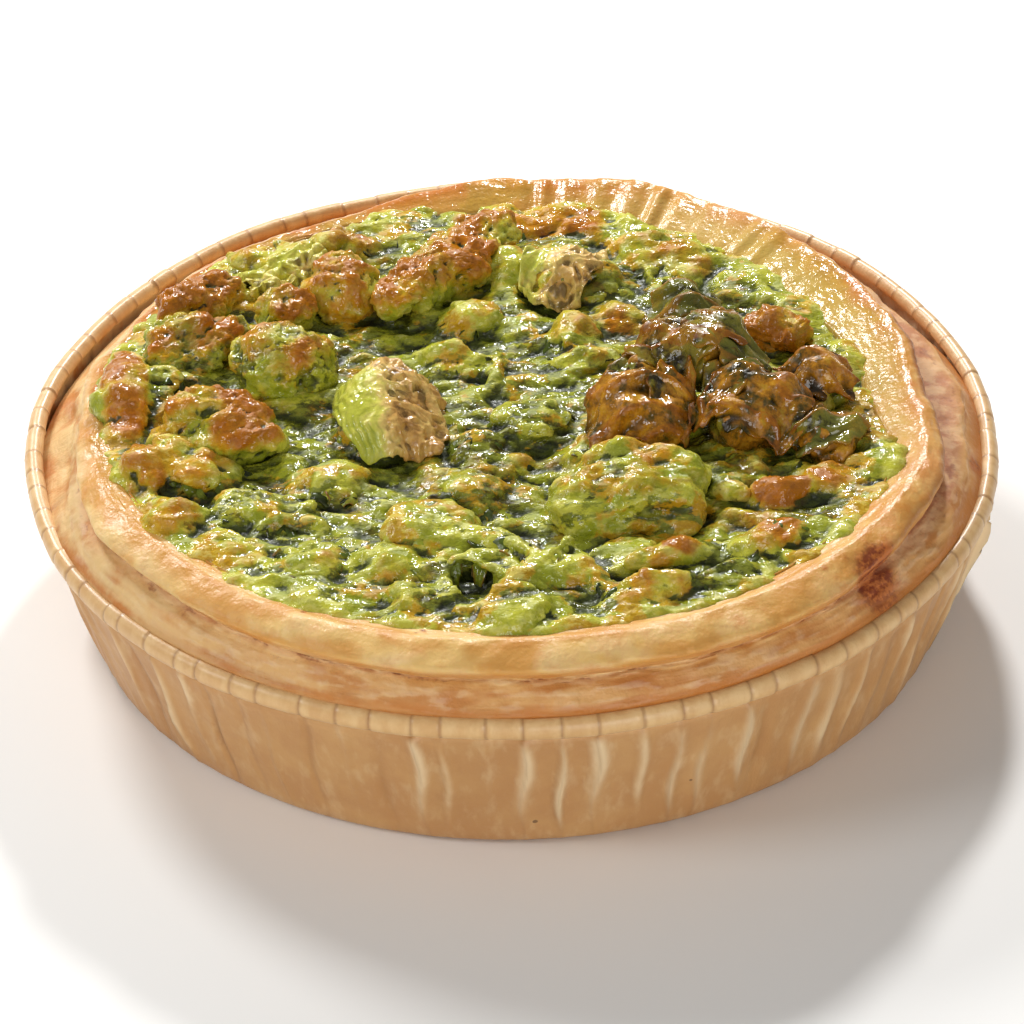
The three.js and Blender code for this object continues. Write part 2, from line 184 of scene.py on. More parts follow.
def placedCopy(seed, place, half, turn, tilt=0.0, lean=0.0):  # a copy with its own mesh, placed in its mesh
    copy = bpy.data.objects.new(seed.name, seed.data.copy())
    bpy.context.scene.collection.objects.link(copy)
    tip = Matrix.Rotation(tilt, 4, "Y") @ Matrix.Rotation(lean, 4, "X")
    spin = Matrix.Rotation(turn, 4, "Z") @ tip
    copy.data.transform(Matrix.Translation(Vector(place) * mm) @ spin @ Matrix.Diagonal((*half, 1)))
    return copy


def roughen(piece, size, depth):  # small dents all over, the size of their grain and their depth in mm
    grain = bpy.data.textures.new(piece.name + "_grain", "CLOUDS")
    grain.noise_scale = size * mm
    settings = {"texture": grain, "strength": depth * mm, "mid_level": 0.5, "texture_coords": "LOCAL"}
    applyModifier(piece, "DISPLACE", **settings)


def ringWall(sectors, rings):  # an open tube, one unit high for each ring
    bpy.ops.object.select_all(action="DESELECT")
    size = {"radius": 1, "depth": rings - 1, "location": (0, 0, (rings - 1) / 2)}
    bpy.ops.mesh.primitive_cylinder_add(vertices=sectors, end_fill_type="NOTHING", **size)
    wall = bpy.context.object
    bpy.ops.object.transform_apply()
    bpy.ops.object.mode_set(mode="EDIT")
    bpy.ops.mesh.select_mode(type="EDGE")
    bpy.ops.mesh.select_all(action="DESELECT")
    shape = bmesh.from_edit_mesh(wall.data)
    for edge in shape.edges:
        edge.select = abs(edge.verts[0].co.z - edge.verts[1].co.z) > 0.5
    bmesh.update_edit_mesh(wall.data)
    bpy.ops.mesh.subdivide(number_cuts=rings - 2)
    bpy.ops.object.mode_set(mode="OBJECT")
    places = readPlaces(wall) * mm
    step = np.rint(places[:, 2]).astype(int)
    sector = np.rint(np.arctan2(places[:, 1], places[:, 0]) / (2 * math.pi / sectors)).astype(int) % sectors
    return wall, step, sector


def capEnds(wall):  # closes both open ends of a tube
    only(wall)
    bpy.ops.object.mode_set(mode="EDIT")
    bpy.ops.mesh.select_mode(type="EDGE")
    bpy.ops.mesh.select_all(action="DESELECT")
    bpy.ops.mesh.select_non_manifold()
    bpy.ops.mesh.edge_face_add()
    bpy.ops.mesh.select_all(action="SELECT")
    bpy.ops.mesh.normals_make_consistent(inside=False)
    bpy.ops.object.mode_set(mode="OBJECT")


def onRings(radius, height, sectors):  # radius and height hold a value for each ring and sector
    azimuth = np.arange(sectors) * 2 * math.pi / sectors
    return np.stack([radius * np.cos(azimuth), radius * np.sin(azimuth), height], axis=-1)


def finishPiece(piece, name, finish, nodes, sharp=60):
    only(piece)
    piece.name = piece.data.name = name
    piece.data.materials.clear()
    piece.data.materials.append(finish.material)
    bpy.ops.object.shade_smooth_by_angle(angle=math.radians(sharp))
    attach(piece, "root")
    if nodes:
        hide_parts(*nodes)
    print(name, "has", len(piece.data.polygons), "faces")


# Shader helpers

class Wire:  # a node's output that adds Math nodes when it is used in a sum
    def __init__(self, finish, socket):
        self.finish = finish
        self.socket = socket

    def maths(self, operation, *values):
        return self.finish.node("ShaderNodeMath", {"operation": operation}, dict(enumerate(values)))

    def __add__(self, other):
        return self.maths("ADD", self, other)

    def __radd__(self, other):
        return self.maths("ADD", other, self)

    def __sub__(self, other):
        return self.maths("SUBTRACT", self, other)

    def __rsub__(self, other):
        return self.maths("SUBTRACT", other, self)

    def __mul__(self, other):
        return self.maths("MULTIPLY", self, other)

    def __rmul__(self, other):
        return self.maths("MULTIPLY", other, self)

    def ramp(self, low, high):  # 0 at low, 1 at high, with soft ends
        settings = {"interpolation_type": "SMOOTHSTEP"}
        return self.finish.node("ShaderNodeMapRange", settings, {0: self, 1: low, 2: high, 3: 0.0, 4: 1.0})


def tint(code):  # a screen colour such as "d9ab6c" as linear light
    channels = [int(code[start : start + 2], 16) / 255 for start in (0, 2, 4)]
    return (*(c / 12.92 if c <= 0.04045 else ((c + 0.055) / 1.055) ** 2.4 for c in channels), 1)


class Finish:  # a material built from procedural nodes
    def __init__(self, name):
        self.material = bpy.data.materials.new(name)
        self.material.use_nodes = True
        self.tree = self.material.node_tree
        self.tree.nodes.clear()
        self.place = self.node("ShaderNodeTexCoord", {}, {}, "Object")

    def node(self, kind, settings=None, inputs=None, output=0):
        made = self.tree.nodes.new(kind)
        for name, value in (settings or {}).items():
            if name == "stops":
                self.setStops(made.color_ramp, value)
            else:
                setattr(made, name, value)
        for name, value in (inputs or {}).items():
            if isinstance(value, Wire):
                self.tree.links.new(value.socket, made.inputs[name])
            else:
                made.inputs[name].default_value = value
        return Wire(self, made.outputs[output])

    def setStops(self, band, stops):
        while len(band.elements) < len(stops):
            band.elements.new(1)
        for element, (position, code) in zip(band.elements, stops):
            element.position = position
            element.color = tint(code)

    def mark(self, name):  # a number kept at each vertex
        return self.node("ShaderNodeAttribute", {"attribute_name": name}, {}, "Fac")

    def stretched(self, scale):  # patches grow long where the scale is under 1
        return self.node("ShaderNodeMapping", {}, {"Vector": self.place, "Scale": scale})

    def cloud(self, size, detail=3.0, rough=0.5, where=None, shift=0.0):  # size of the patches in mm
        where = where or self.place
        if shift:
            shifts = {0: where, 1: (shift, shift, shift)}
            where = self.node("ShaderNodeVectorMath", {"operation": "ADD"}, shifts)
        inputs = {"Vector": where, "Scale": 1 / (size * mm), "Detail": detail, "Roughness": rough}
        return self.node("ShaderNodeTexNoise", {}, inputs)

    def cells(self, size):  # distance from the middle of each cell, size in mm
        return self.node("ShaderNodeTexVoronoi", {}, {"Vector": self.place, "Scale": 1 / (size * mm)})

    def mix(self, share, first, second):  # the first colour at share 0, the second at 1
        settings = {"data_type": "RGBA"}
        first, second = (tint(c) if isinstance(c, str) else c for c in (first, second))
        return self.node("ShaderNodeMix", settings, {0: share, 6: first, 7: second}, 2)

    def bands(self, value, stops):
        return self.node("ShaderNodeValToRGB", {"stops": stops}, {0: value})

    def bump(self, height, depth, below=None):  # depth in mm for a height of 1
        inputs = {"Height": height, "Distance": depth * mm, "Strength": 1.0}
        if below:
            inputs["Normal"] = below
        return self.node("ShaderNodeBump", {}, inputs)

    def wet(self, below=None, depth=0.3):  # small dents that catch the light as sparkles
        broad = self.cloud(1.4, 2, 0.5, shift=0.37)
        return self.bump(self.cloud(0.5, 1, 0.5, shift=0.51), 0.07, self.bump(broad, depth, below))

    def surface(self, inputs):
        shader = self.node("ShaderNodeBsdfPrincipled", {}, inputs)
        output = self.tree.nodes.new("ShaderNodeOutputMaterial")
        self.tree.links.new(shader.socket, output.inputs["Surface"])


# Stage and light

stageValues = {
    "floor": "f1efeb",
    "sky": 0.22,
    "lights": [
        # name, place, size across, watts
        ("windowBack", (-300, 480, 440), 190, 3.3),
        ("windowLeft", (-480, -160, 380), 220, 1.1),
        ("softFront", (180, -660, 190), 420, 1.9),
        ("glintBack", (60, 420, 360), 60, 2.2),
    ],
}


def makeStage(values):
    bpy.ops.object.select_all(action="DESELECT")
    bpy.ops.mesh.primitive_plane_add(size=6, location=(0, 0, -0.02 * mm))
    floor = bpy.context.object
    floor.name = "floor"
    finish = Finish("pale floor")
    shade = finish.mix(finish.cloud(400), values["floor"], "f6f5f2")
    finish.surface({"Base Color": shade, "Roughness": 0.6})
    floor.data.materials.append(finish.material)
    world = bpy.data.worlds.new("studio")
    bpy.context.scene.world = world
    world.use_nodes = True
    world.node_tree.nodes["Background"].inputs["Color"].default_value = (1, 1, 1, 1)
    world.node_tree.nodes["Background"].inputs["Strength"].default_value = values["sky"]
    for name, place, size, watts in values["lights"]:
        where = Vector(place) * mm
        bpy.ops.object.light_add(type="AREA", location=where)
        light = bpy.context.object
        light.name = name
        light.data.shape = "DISK"
        light.data.size = size * mm
        light.data.energy = watts
        light.rotation_euler = (Vector((0, 0, 0.02)) - where).to_track_quat("-Z", "Y").to_euler()
    bpy.context.scene.view_settings.view_transform = "Standard"


makeStage(stageValues)
print("stage and lights set")


# Paper case

caseValues = {
    "rimRadius": 60,
    "height": 22.5,
    "footRadius": 53.3,
    "paper": 0.3,
    "bandHeight": 3.0,
    "bandWidth": 1.1,
    "rollRadius": 1.15,
    "rollHeight": 1.4,
    "outOfRound": 0.5,
    "panels": 84,  # stretches of paper between two fold lines
    "foldDepth": 0.95,
    "sectors": 1800,
    # how deep the folds are and how greasy the inside is, one value for each 30 degrees
    "foldStrength": [1.7, 1.3, 1.0, 1.0, 1.0, 1.3, 1.5, 1.2, 0.9, 0.8, 1.0, 1.8],
    "grease": [0.25, 0.0, 0.0, 0.5, 0.6, 0.15, 0.15, 0.7, 0.7, 0.6, 0.6, 0.5],
}


def aroundList(values, azimuth):  # evenly spaced values that go once round the quiche
    values = np.array(values)
    place = (azimuth / (2 * math.pi) % 1) * len(values)
    index = np.floor(place).astype(int) % len(values)
    share = ramp(place - np.floor(place), 0, 1)
    return values[index] * (1 - share) + values[(index + 1) % len(values)] * share


def wobble(azimuth, values=caseValues):  # the case was pressed by hand into a slight oval
    return 1 + values["outOfRound"] * np.cos(2 * (azimuth + math.pi / 4)) / values["rimRadius"]


def wallRadius(z, values=caseValues):  # the middle of the sloping paper wall
    wallTop = values["height"] - values["bandHeight"]
    reach = values["rimRadius"] - values["bandWidth"] - values["footRadius"]
    return values["footRadius"] + reach * np.minimum(1, z / wallTop)


def caseProfile(values):  # radius, height, share of the wall's folds, share of the rolled rim's crimps
    wall = values["height"] - values["bandHeight"]
    foot = values["footRadius"]
    outside = [(foot - 1.0, 0, 0, 0), (foot - 0.35, 0.25, 0.15, 0)]
    climb = [(0.9, 0.3), (2.2, 0.5), (4, 0.7), (6, 0.85), (8, 1)]
    climb += [(10, 1), (12, 1), (14, 1), (16, 1), (17.6, 0.9)]
    outside += [(wallRadius(z), z, fold, 0) for z, fold in climb]
    outside += [(wallRadius(wall) - 0.1, wall - 0.7, 0.7, 0)]
    outside += [(wallRadius(wall) - 0.25, wall - 0.1, 0.3, 0.3)]
    turns = 9
    roll = []
    for turn in range(turns + 1):  # the rim is rolled over outwards
        angle = -0.42 * math.pi + turn / turns * 1.35 * math.pi
        radius = values["rimRadius"] - values["rollRadius"] + values["rollRadius"] * math.cos(angle)
        roll.append((radius, wall + 1.6 + values["rollHeight"] * math.sin(angle), 0.1, 1))
    thin = values["paper"] + 0.15
    drop = [(wall + 0.6, 0.3), (wall - 0.6, 0.6), (18, 0.9), (16.4, 1)]
    drop += [(14, 1), (9, 1), (5, 0.8), (2.2, 0.5)]
    inside = [(wallRadius(z) - thin, z, fold, 0) for z, fold in drop]
    inside += [(wallRadius(0.9) - 0.8, 0.75, 0.2, 0), (foot - 2, values["paper"], 0, 0)]
    return np.array(outside + roll + inside), len(outside) + turns - 1


def makePaperCase(values):
    draw = random.Random(7)
    profile, insideFrom = caseProfile(values)
    rings, sectors, count = len(profile), values["sectors"], values["panels"]
    case, step, sector = ringWall(sectors, rings)
    azimuth = np.arange(sectors) * 2 * math.pi / sectors
    each = range(count)
    lines = (np.arange(count) + np.array([draw.uniform(-0.22, 0.22) for _ in each])) * 2 * math.pi / count
    lean = np.array([draw.uniform(-0.016, 0.016) for _ in each])
    height = np.array([draw.choice((-0.9, 0.6, 0.8, 0.9, 1)) * draw.uniform(0.3, 1) for _ in each])
    width = np.array([draw.uniform(0.45, 1.2) for _ in each])
    sharp = np.array([draw.choice((0, 0, 0.25, 0.6, 1)) for _ in each])
    middle = np.array([draw.uniform(6, 19) for _ in each])  # where a fold is deepest
    tone = np.array([draw.random() for _ in each])
    deep = aroundList(values["foldStrength"], azimuth)
    marks = {name: np.zeros((rings, sectors)) for name in ("crease", "tone", "fold")}
    radius, level = np.zeros((rings, sectors)), np.zeros((rings, sectors))
    for ring, (r, z, fold, crimp) in enumerate(profile):
        offset = np.zeros(sectors)
        crease = np.zeros(sectors)
        upright = (values["height"] - values["bandHeight"] - z) * (1 - crimp)
        for k in each:
            line = lines[k] + lean[k] * upright / values["height"]
            line += 0.006 * math.sin(z * 0.45 + 3 * tone[k]) * (1 - crimp)
            away = (azimuth - line + math.pi) % (2 * math.pi) - math.pi
            near = np.abs(away) < 0.1
            d = away[near] * r
            strength = 0.35 + 0.65 * math.exp(-(((z - middle[k]) / 8) ** 2))
            soft = height[k] * np.exp(-((d / width[k]) ** 2)) * strength
            offset[near] += fold * values["foldDepth"] * deep[near] * soft
            lap = np.where(d > 0, np.exp(-np.maximum(d, 0) / 1.5), np.exp(-((d / 0.2) ** 2)))
            offset[near] += fold * 0.4 * sharp[k] * strength * deep[near] * lap
            offset[near] -= crimp * 0.14 * np.exp(-((d / 0.24) ** 2))
            offset[near] += crimp * 0.11 * (tone[k] - 0.5) * np.clip(1 - np.abs(d) / 2.4, 0, 1)
            line = np.exp(-((d / 0.2) ** 2)) * max(sharp[k] * strength * (1 - crimp), 0.85 * crimp)
            crease[near] = np.maximum(crease[near], line)
        panel = (np.searchsorted(lines, azimuth, side="right") - 1) % count
        slow = [noise.noise((2.6 * math.cos(a), 2.6 * math.sin(a), 0.05 * z)) for a in azimuth]
        offset += 0.5 * np.array(slow) * min(1, z / values["height"] * 1.4) * (z > 0.5)
        radius[ring] = (r + offset) * wobble(azimuth, values)
        level[ring] = z + crimp * 0.22 * (tone[panel] - 0.5)
        marks["crease"][ring] = crease
        marks["tone"][ring] = tone[panel]
        marks["fold"][ring] = offset
    level = np.maximum(level, 0)
    writePlaces(case, onRings(radius, level, sectors)[step, sector])
    for name, mark in marks.items():
        setMark(case, name, mark[step, sector])
    setMark(case, "inside", ramp(step.astype(float), insideFrom - 1, insideFrom + 1))
    setMark(case, "band", profile[step, 3])
    setMark(case, "grease", aroundList(values["grease"], azimuth[sector]))
    capEnds(case)
    return case


def paperFinish():
    finish = Finish("waxed baking paper")
    fibre = finish.cloud(0.45, 4, 0.6, finish.stretched((1, 1, 0.4)))
    mottle = finish.cloud(7, 4, 0.55)
    wax = finish.cloud(1.9, 4, 0.55, finish.stretched((1, 1, 0.35)), 0.2)
    grease = finish.cloud(6, 3, 0.55, shift=0.31)
    fold = finish.mark("fold")
    band = finish.mark("band")
    inside = finish.mark("inside")
    greased = finish.mark("grease")
    color = finish.mix(mottle.ramp(0.35, 0.68), "bd8a52", "c6965c")
    # painted shade: darker where the fold pushes the wall in
    color = finish.mix((0 - fold).ramp(0.0, 0.8) * 0.55, color, "a06a36")
    color = finish.mix(finish.mark("tone").ramp(0.3, 1) * 0.2, color, "b07c46")
    color = finish.mix(wax.ramp(0.5, 0.72) * 0.22, color, "e6cb9e")
    # painted highlight: paler where the fold stands out, broken up by wax streaks
    color = finish.mix((fold + (wax - 0.5) * 0.3).ramp(0.2, 1.0) * 0.85, color, "edd3a6")
    color = finish.mix(band * 0.75, color, finish.mix(wax.ramp(0.35, 0.65), "d9ac70", "e6bf84"))
    wet = (grease + 0.42 * greased).ramp(0.55, 0.72)
    inner = finish.mix(wet, "efdab4", "d4954e")
    color = finish.mix(inside * (0.9 - 0.6 * band), color, inner)
    color = finish.mix(finish.mark("crease") * (0.35 + 0.35 * band + 0.2 * inside), color, "8a5526")
    specks = finish.cells(7.5).ramp(0.05, 0.035) * (mottle.ramp(0.5, 0.6))
    color = finish.mix(specks * 0.8, color, "5a3a1c")
    normal = finish.bump(fibre, 0.06, finish.bump(wax, 0.16))
    finish.surface({
        "Base Color": color,
        "Roughness": 0.42 + 0.25 * fibre,
        "Normal": normal,
        "Coat Weight": 0.18 + 0.25 * band,
        "Coat Roughness": 0.28,
    })
    return finish


finishPiece(makePaperCase(caseValues), "baking_paper_case", paperFinish(), ["paper_case"])
print("paper case made")


# Pastry crust

crustValues = {
    "sectors": 1100,
    "heel": 1.9,
    "belly": 12,
    "lowerLobe": 23.7,
    "seam": 26.0,
    "seamNotch": 1.0,
    "floor": 4.75,
    "swell": [(17, 0.5), (8, 0.5), (3.4, 0.26), (1.1, 0.09)],  # size of the bumps and their height
    "fluteFrom": 42,
    "fluteTo": 86,
    "flutePitch": 3.9,
    "fluteDepth": 0.24,
    "fluteRadius": 50,
    # one value for each 30 degrees
    "lowerLobeRadius": [56, 53.8, 54.6, 55, 55.1, 55.4, 55, 58.2, 58.6, 58.6, 58.7, 58.3],
    "upperLobeRadius": [51, 50, 51.8, 51.8, 51.4, 52.8, 53.4, 56, 57.2, 57.4, 57.9, 56.2],
    "lobeDrop": [0, 0, 0, 0.2, 1.7, 1.5, 1.0, 0, 0, 0, 0, 0],  # the lobes hang low at the back left
    "top": [29.4, 29.0, 28.6, 28, 25.9, 26, 28.2, 29.0, 29.5, 29.7, 29.9, 29.9],
    "roll": [1.5, 1.0, 0.9, 0.9, 0.9, 1.2, 2.0, 2.8, 3.0, 3.2, 3.2, 2.4],  # from the edge in to the crest
    "lipRadius": [44, 42.6, 43.4, 45.4, 48.4, 49.8, 49.2, 50.3, 50.6, 51, 51.6, 50.2],
    "fillingEdge": [27, 26.6, 26.2, 25.8, 25.4, 25.4, 27.6, 28, 28.2, 28.4, 28.7, 28.6],
    # where pastry meets paper
    "ledgeLevel": [20.6, 18.6, 18.4, 18.4, 18.2, 18.8, 19.6, 22.4, 22.4, 22.4, 22.4, 22.2],
    # how strong each colour is round the quiche
    "wideSeam": [1, 1, 0.9, 0.6, 0.4, 0.4, 0.55, 0.4, 0.22, 0.15, 0.22, 0.75],
    "edgeLine": [1, 1, 0.7, 1, 0.7, 0.5, 0.5, 0.15, 0.05, 0.05, 0.25, 0.7],
    "custard": [0.8, 1, 0.7, 0.9, 1, 1, 0.9, 0.5, 0.2, 0.12, 0.15, 0.35],
    "pale": [0, 0, 0, 0.2, 0.8, 1, 1, 0.85, 0.35, 0.1, 0, 0],
    "toasted": [0.6, 0.4, 0.45, 0.8, 0.35, 0.35, 0.6, 0.35, 0.25, 0.3, 0.4, 0.65],
}

# x, y, reach of the burnt places, and how dark they are
burntSpots = [
    (40.9, -39.8, 2.5, 1.15),
    (42.9, -37.6, 1.8, 1.0),
    (35.3, -41.9, 0.6, 0.75),
    (-55.8, -18.3, 0.9, 1.0),
    (-56, -12.7, 1.3, 0.6),
    (56.2, -12.7, 1.5, 0.8),
    (-24.7, -46.6, 0.35, 1.2),
    (-11.7, -51.4, 0.3, 1.2),
    (-10.8, -50.6, 0.4, 1.2),
]


def around(name, azimuth):
    return aroundList(crustValues[name], azimuth)


def crustProfile(values, azimuth):  # the points of the section, one value for each azimuth
    lower, upper, lip = (around(n, azimuth) for n in ("lowerLobeRadius", "upperLobeRadius", "lipRadius"))
    top, edge, ledge, roll = (around(n, azimuth) for n in ("top", "fillingEdge", "ledgeLevel", "roll"))
    drop = around("lobeDrop", azimuth)
    lobe, seam = values["lowerLobe"] - drop, values["seam"] - drop
    meets = wallRadius(ledge) - 0.5 + 0.35 * ramp(ledge, 20, 22)
    crest = np.maximum(upper - roll, lip + 1.2)
    edgeLevel = top - 0.25 - 0.4 * roll
    return [
        (wallRadius(0) - 2.8, 0.75),
        (wallRadius(values["heel"]) - 1.3, values["heel"]),
        (wallRadius(values["belly"]) - 1.3, values["belly"]),
        (meets - 0.8, ledge - 1.6),
        (meets, ledge),
        (lower + 0.05, lobe),
        (lower - 1.0, lobe + 1.35),
        (np.minimum(upper, lower) - values["seamNotch"], seam),
        (upper - 0.35, seam + 0.35 * (edgeLevel - seam)),
        (upper, edgeLevel),
        (crest, top),
        (crest * 0.45 + lip * 0.55, top * 0.5 + edge * 0.5 + 0.3),
        (lip, edge + 0.4),
        (lip - 0.8, edge - 1.2),
        (lip - 3, 8),
        (lip - 5, values["floor"]),
    ]


def makeCrust(values):
    sectors = values["sectors"]
    azimuth = np.arange(sectors) * 2 * math.pi / sectors
    points = crustProfile(values, azimuth)
    last = len(points) - 1
    r = np.array([p[0] * np.ones(sectors) for p in points])
    z = np.array([p[1] * np.ones(sectors) for p in points])
    # rings stand close together where the pastry shows
    spread = np.array([0, 1, 2, 3] + list(np.linspace(3.4, 12.4, 72)) + [12.8, 13.2, 14, 15])
    low = np.clip(np.floor(spread).astype(int), 0, last - 1)
    share = (spread - low)[:, None]

    def curve(column):  # a smooth line through the profile's points
        before, start, end, after = (column[np.clip(low + k, 0, last)] for k in (-1, 0, 1, 2))
        square, cube = share * share, share * share * share
        bend = (2 * before - 5 * start + 4 * end - after) * square
        bend = bend + (3 * start - before - 3 * end + after) * cube
        return 0.5 * (2 * start + (end - before) * share + bend)

    radius, height = curve(r), curve(z)
    crust, step, sector = ringWall(sectors, len(spread))
    t = spread[:, None] * np.ones(sectors)
    free = ramp(t, 4.0, 5.2) * (1 - ramp(t, 11.6, 12.5))
    base = onRings(radius, height, sectors).reshape(-1, 3)
    bumps = enumerate(values["swell"])
    swell = sum(noiseAt(base, size, k) * depth for k, (size, depth) in bumps).reshape(t.shape)
    arc = base * np.array([0.4, 0.4, 3.4])  # thin leaves of pastry lie along the seam
    leaves = noiseAt(arc, 1.5, 7).reshape(t.shape) + 0.7 * noiseAt(arc, 0.6, 8).reshape(t.shape)
    wander = noiseAt(base * np.array([1, 1, 0]), 11, 9).reshape(t.shape)
    wide = around("wideSeam", azimuth)
    seam = hump(t, 7.0 + 0.25 * wander, 0.42 + 0.9 * wide)
    degrees = np.degrees(azimuth)
    fluted = ramp(degrees, values["fluteFrom"] - 8, values["fluteFrom"] + 4)
    fluted *= 1 - ramp(degrees, values["fluteTo"] - 6, values["fluteTo"] + 6)
    drift = noiseAt(base[:sectors], 8, 4)
    turns = azimuth * values["fluteRadius"] / values["flutePitch"]
    waves = np.cos(2 * math.pi * turns + 2.6 * drift + 0.25 * t)
    waves *= np.clip(0.75 + 1.6 * noiseAt(base[:sectors], 6, 5), 0.15, 1.5)
    flutes = fluted * waves * values["fluteDepth"] * ramp(t, 9, 10.4) * (1 - ramp(t, 11.4, 12.3))
    out = free * (swell - 0.25) + seam * 0.34 * leaves
    radius = (radius + out - 0.5 * flutes) * wobble(azimuth)
    height = height + free * 0.55 * swell + seam * 0.1 * leaves + flutes
    writePlaces(crust, onRings(radius, height, sectors)[step, sector])
    even = np.ones(t.shape)
    ring = np.stack([np.cos(azimuth) * even, np.sin(azimuth) * even, t / 17], axis=-1)
    along = (ring * np.array([17, 17, 38])).reshape(-1, 3)  # long in the direction that the crust runs
    marks = {
        "streak": (noiseAt(along, 2.4, 11) + 0.6 * noiseAt(along, 1.1, 12)).reshape(t.shape),
        "strand": (noiseAt(along, 0.9, 13) + 0.5 * noiseAt(along, 0.45, 14)).reshape(t.shape),
        "seam": seam,
        # where the seam's thin layers are pushed in, for painted shade
        "pit": seam * np.clip(-leaves, 0, 1),
        "shelf": 1 - ramp(t, 6.0, 7.2),
        "foot": 1 - ramp(t, 4.2, 5.6),
        # the underside of the upper lobe, above the seam, for painted shade
        "under": hump(t, 8.1, 0.7),
        "inner": ramp(t, 9.8, 11.2),
        "edgeLine": hump(t, 9.1 + 0.3 * wander, 0.55) * around("edgeLine", azimuth),
        "custard": ramp(t, 8.7, 10.6) * around("custard", azimuth),
        "toasted": ramp(t, 7, 9) * around("toasted", azimuth),
        "wide": wide * even,
        "pale": (1 - ramp(t, 8.8, 10.2)) * around("pale", azimuth),
        "burnt": sum(dark * np.exp(-((base[:, 0] - x) ** 2 + (base[:, 1] - y) ** 2) / reach**2)
                     for x, y, reach, dark in burntSpots).reshape(t.shape),
    }
    for name, mark in marks.items():
        setMark(crust, name, mark[step, sector])
    capEnds(crust)
    return crust


def crustFinish():
    finish = Finish("baked pastry")
    broad = finish.cloud(9, 4, 0.55)
    mottle = finish.cloud(2.2, 5, 0.6)
    fine = finish.cloud(0.6, 3, 0.6)
    streak = finish.mark("streak")
    strand = finish.mark("strand")
    seam = finish.mark("seam")
    wide = finish.mark("wide")
    foot = finish.mark("foot")
    color = finish.mix((broad + 0.3 * streak).ramp(0.38, 0.64), "d3994c", "e5bb70")
    color = finish.mix((mottle * 0.6 + streak * 0.45).ramp(0.3, 0.62) * 0.5, color, "f2d8a2")
    color = finish.mix((strand * 0.5 - streak * 0.4).ramp(0.12, 0.5) * 0.45, color, "cf8a40")
    toasted = (finish.mark("toasted") + (mottle - 0.5) * 1.6 + 0.5 * streak).ramp(0.25, 1.1)
    color = finish.mix(toasted * 0.75, color, "cf8030")
    # painted shade: darker orange under the upper lobe's overhang
    color = finish.mix((finish.mark("under") + 0.3 * streak).ramp(0.2, 1) * 0.7, color, "c27b38")
    custard = finish.mix(mottle.ramp(0.4, 0.62), "a26c12", "c08a24")
    custard = finish.mix(broad.ramp(0.46, 0.56), custard, "b86010")
    custard = finish.mix(finish.mark("inner") * wide * 0.85, custard, "bea654")
    glazed = (finish.mark("custard") + (broad - 0.5) * 0.9).ramp(0.15, 0.95)
    color = finish.mix(glazed * 0.85, color, custard)
    shelf = finish.mix((broad + 0.35 * streak).ramp(0.36, 0.64), "c48244", "d9a262")
    shelf = finish.mix((mottle * 0.7 + strand * 0.35).ramp(0.32, 0.55) * 0.45, shelf, "ebc796")
    shelf = finish.mix((strand * 0.6 - streak * 0.3).ramp(0.12, 0.5) * 0.4, shelf, "c2846a")
    shelf = finish.mix((foot + 0.25 * streak).ramp(0.15, 0.95) * 0.85, shelf, "c07632")
    color = finish.mix(finish.mark("shelf"), color, shelf)
    pale = finish.mark("pale") * (mottle * 0.5 + broad * 0.5 + streak * 0.3).ramp(0.25, 0.6)
    color = finish.mix(pale * 0.75, color, "e2c58c")
    crumb = finish.mix((mottle + strand * 0.3).ramp(0.38, 0.62), "b67a5a", "d8ab80")
    color = finish.mix((seam * (0.6 + 0.4 * wide)).ramp(0.3, 0.95) * 0.9, color, crumb)
    # painted shade in the seam's recessed layers
    color = finish.mix((finish.mark("pit") + (0.5 - fine)).ramp(0.2, 0.7) * 0.65, color, "8f5034")
    color = finish.mix(finish.mark("edgeLine").ramp(0.3, 1) * 0.8, color, "8c4a22")
    burnt = (finish.mark("burnt") + (mottle - 0.5) * 1.3 + 0.2 * strand).ramp(0.15, 1.1)
    char = finish.mix((fine + 0.3 * strand).ramp(0.36, 0.64), "7c2e12", "b9672c")
    color = finish.mix(burnt * 0.92, color, char)
    normal = finish.wet(finish.bump(strand * 0.25 + streak * 0.2 + mottle * 0.4, 0.3), 0.08)
    finish.surface({
        "Base Color": color,
        "Roughness": (0.3 + 0.35 * fine + 0.25 * seam) - 0.33 * finish.mark("custard"),
        "Normal": normal,
        "Specular IOR Level": 0.36,
        "Subsurface Weight": 0.1,
        "Subsurface Radius": (0.003, 0.0018, 0.0008),
        "Subsurface Scale": 1.0,
    })
    return finish


finishPiece(makeCrust(crustValues), "flaky_pastry_crust", crustFinish(), ["pastry_crust"])
print("pastry crust made")


# Filling

fillingValues = {
    "voxel": 0.4,
    "level": 26.6,
    "edgeRamp": 16,
    "edgeFade": 3.5,
    "bottom": 5.4,
    "slabBottom": 20,
    "keepAbove": 22.5,
    "reach": 47.5,
    "edgeRise": 0.45,  # how far the filling climbs up the crust
    "slabRise": 0.35,
    "between": 0.6,  # how far the filling sinks between its lobes
    "lobeWiden": 1.12,
    "lobeTall": 1.35,
    "lobeSunk": 0.35,  # of a lobe's rise
    "leafRoom": (-15, -8, 9),  # place and radius that stay free round the upright leaf
    "lumps": [
        # kind, how many, half length, half width, half height, share of the height that is sunk
        ("curd", 26, (3.4, 6.4), (2.2, 3.8), (0.8, 1.4), 0.7),
        ("fold", 120, (3.4, 7.2), (0.8, 1.6), (0.7, 1.3), 0.45),
    ],
    "folds": [  # size, depth, stretch and sharpness of the folds, coarse ones first
        (8.5, 1.7, (0.7, 1, 1), 0.5),
        (4.0, 1.1, (0.4, 1, 1), 0.5),
        (1.8, 0.55, (0.4, 1, 1), 0.45),
        (0.8, 0.22, (0.6, 1, 1), 0.5),
    ],
}

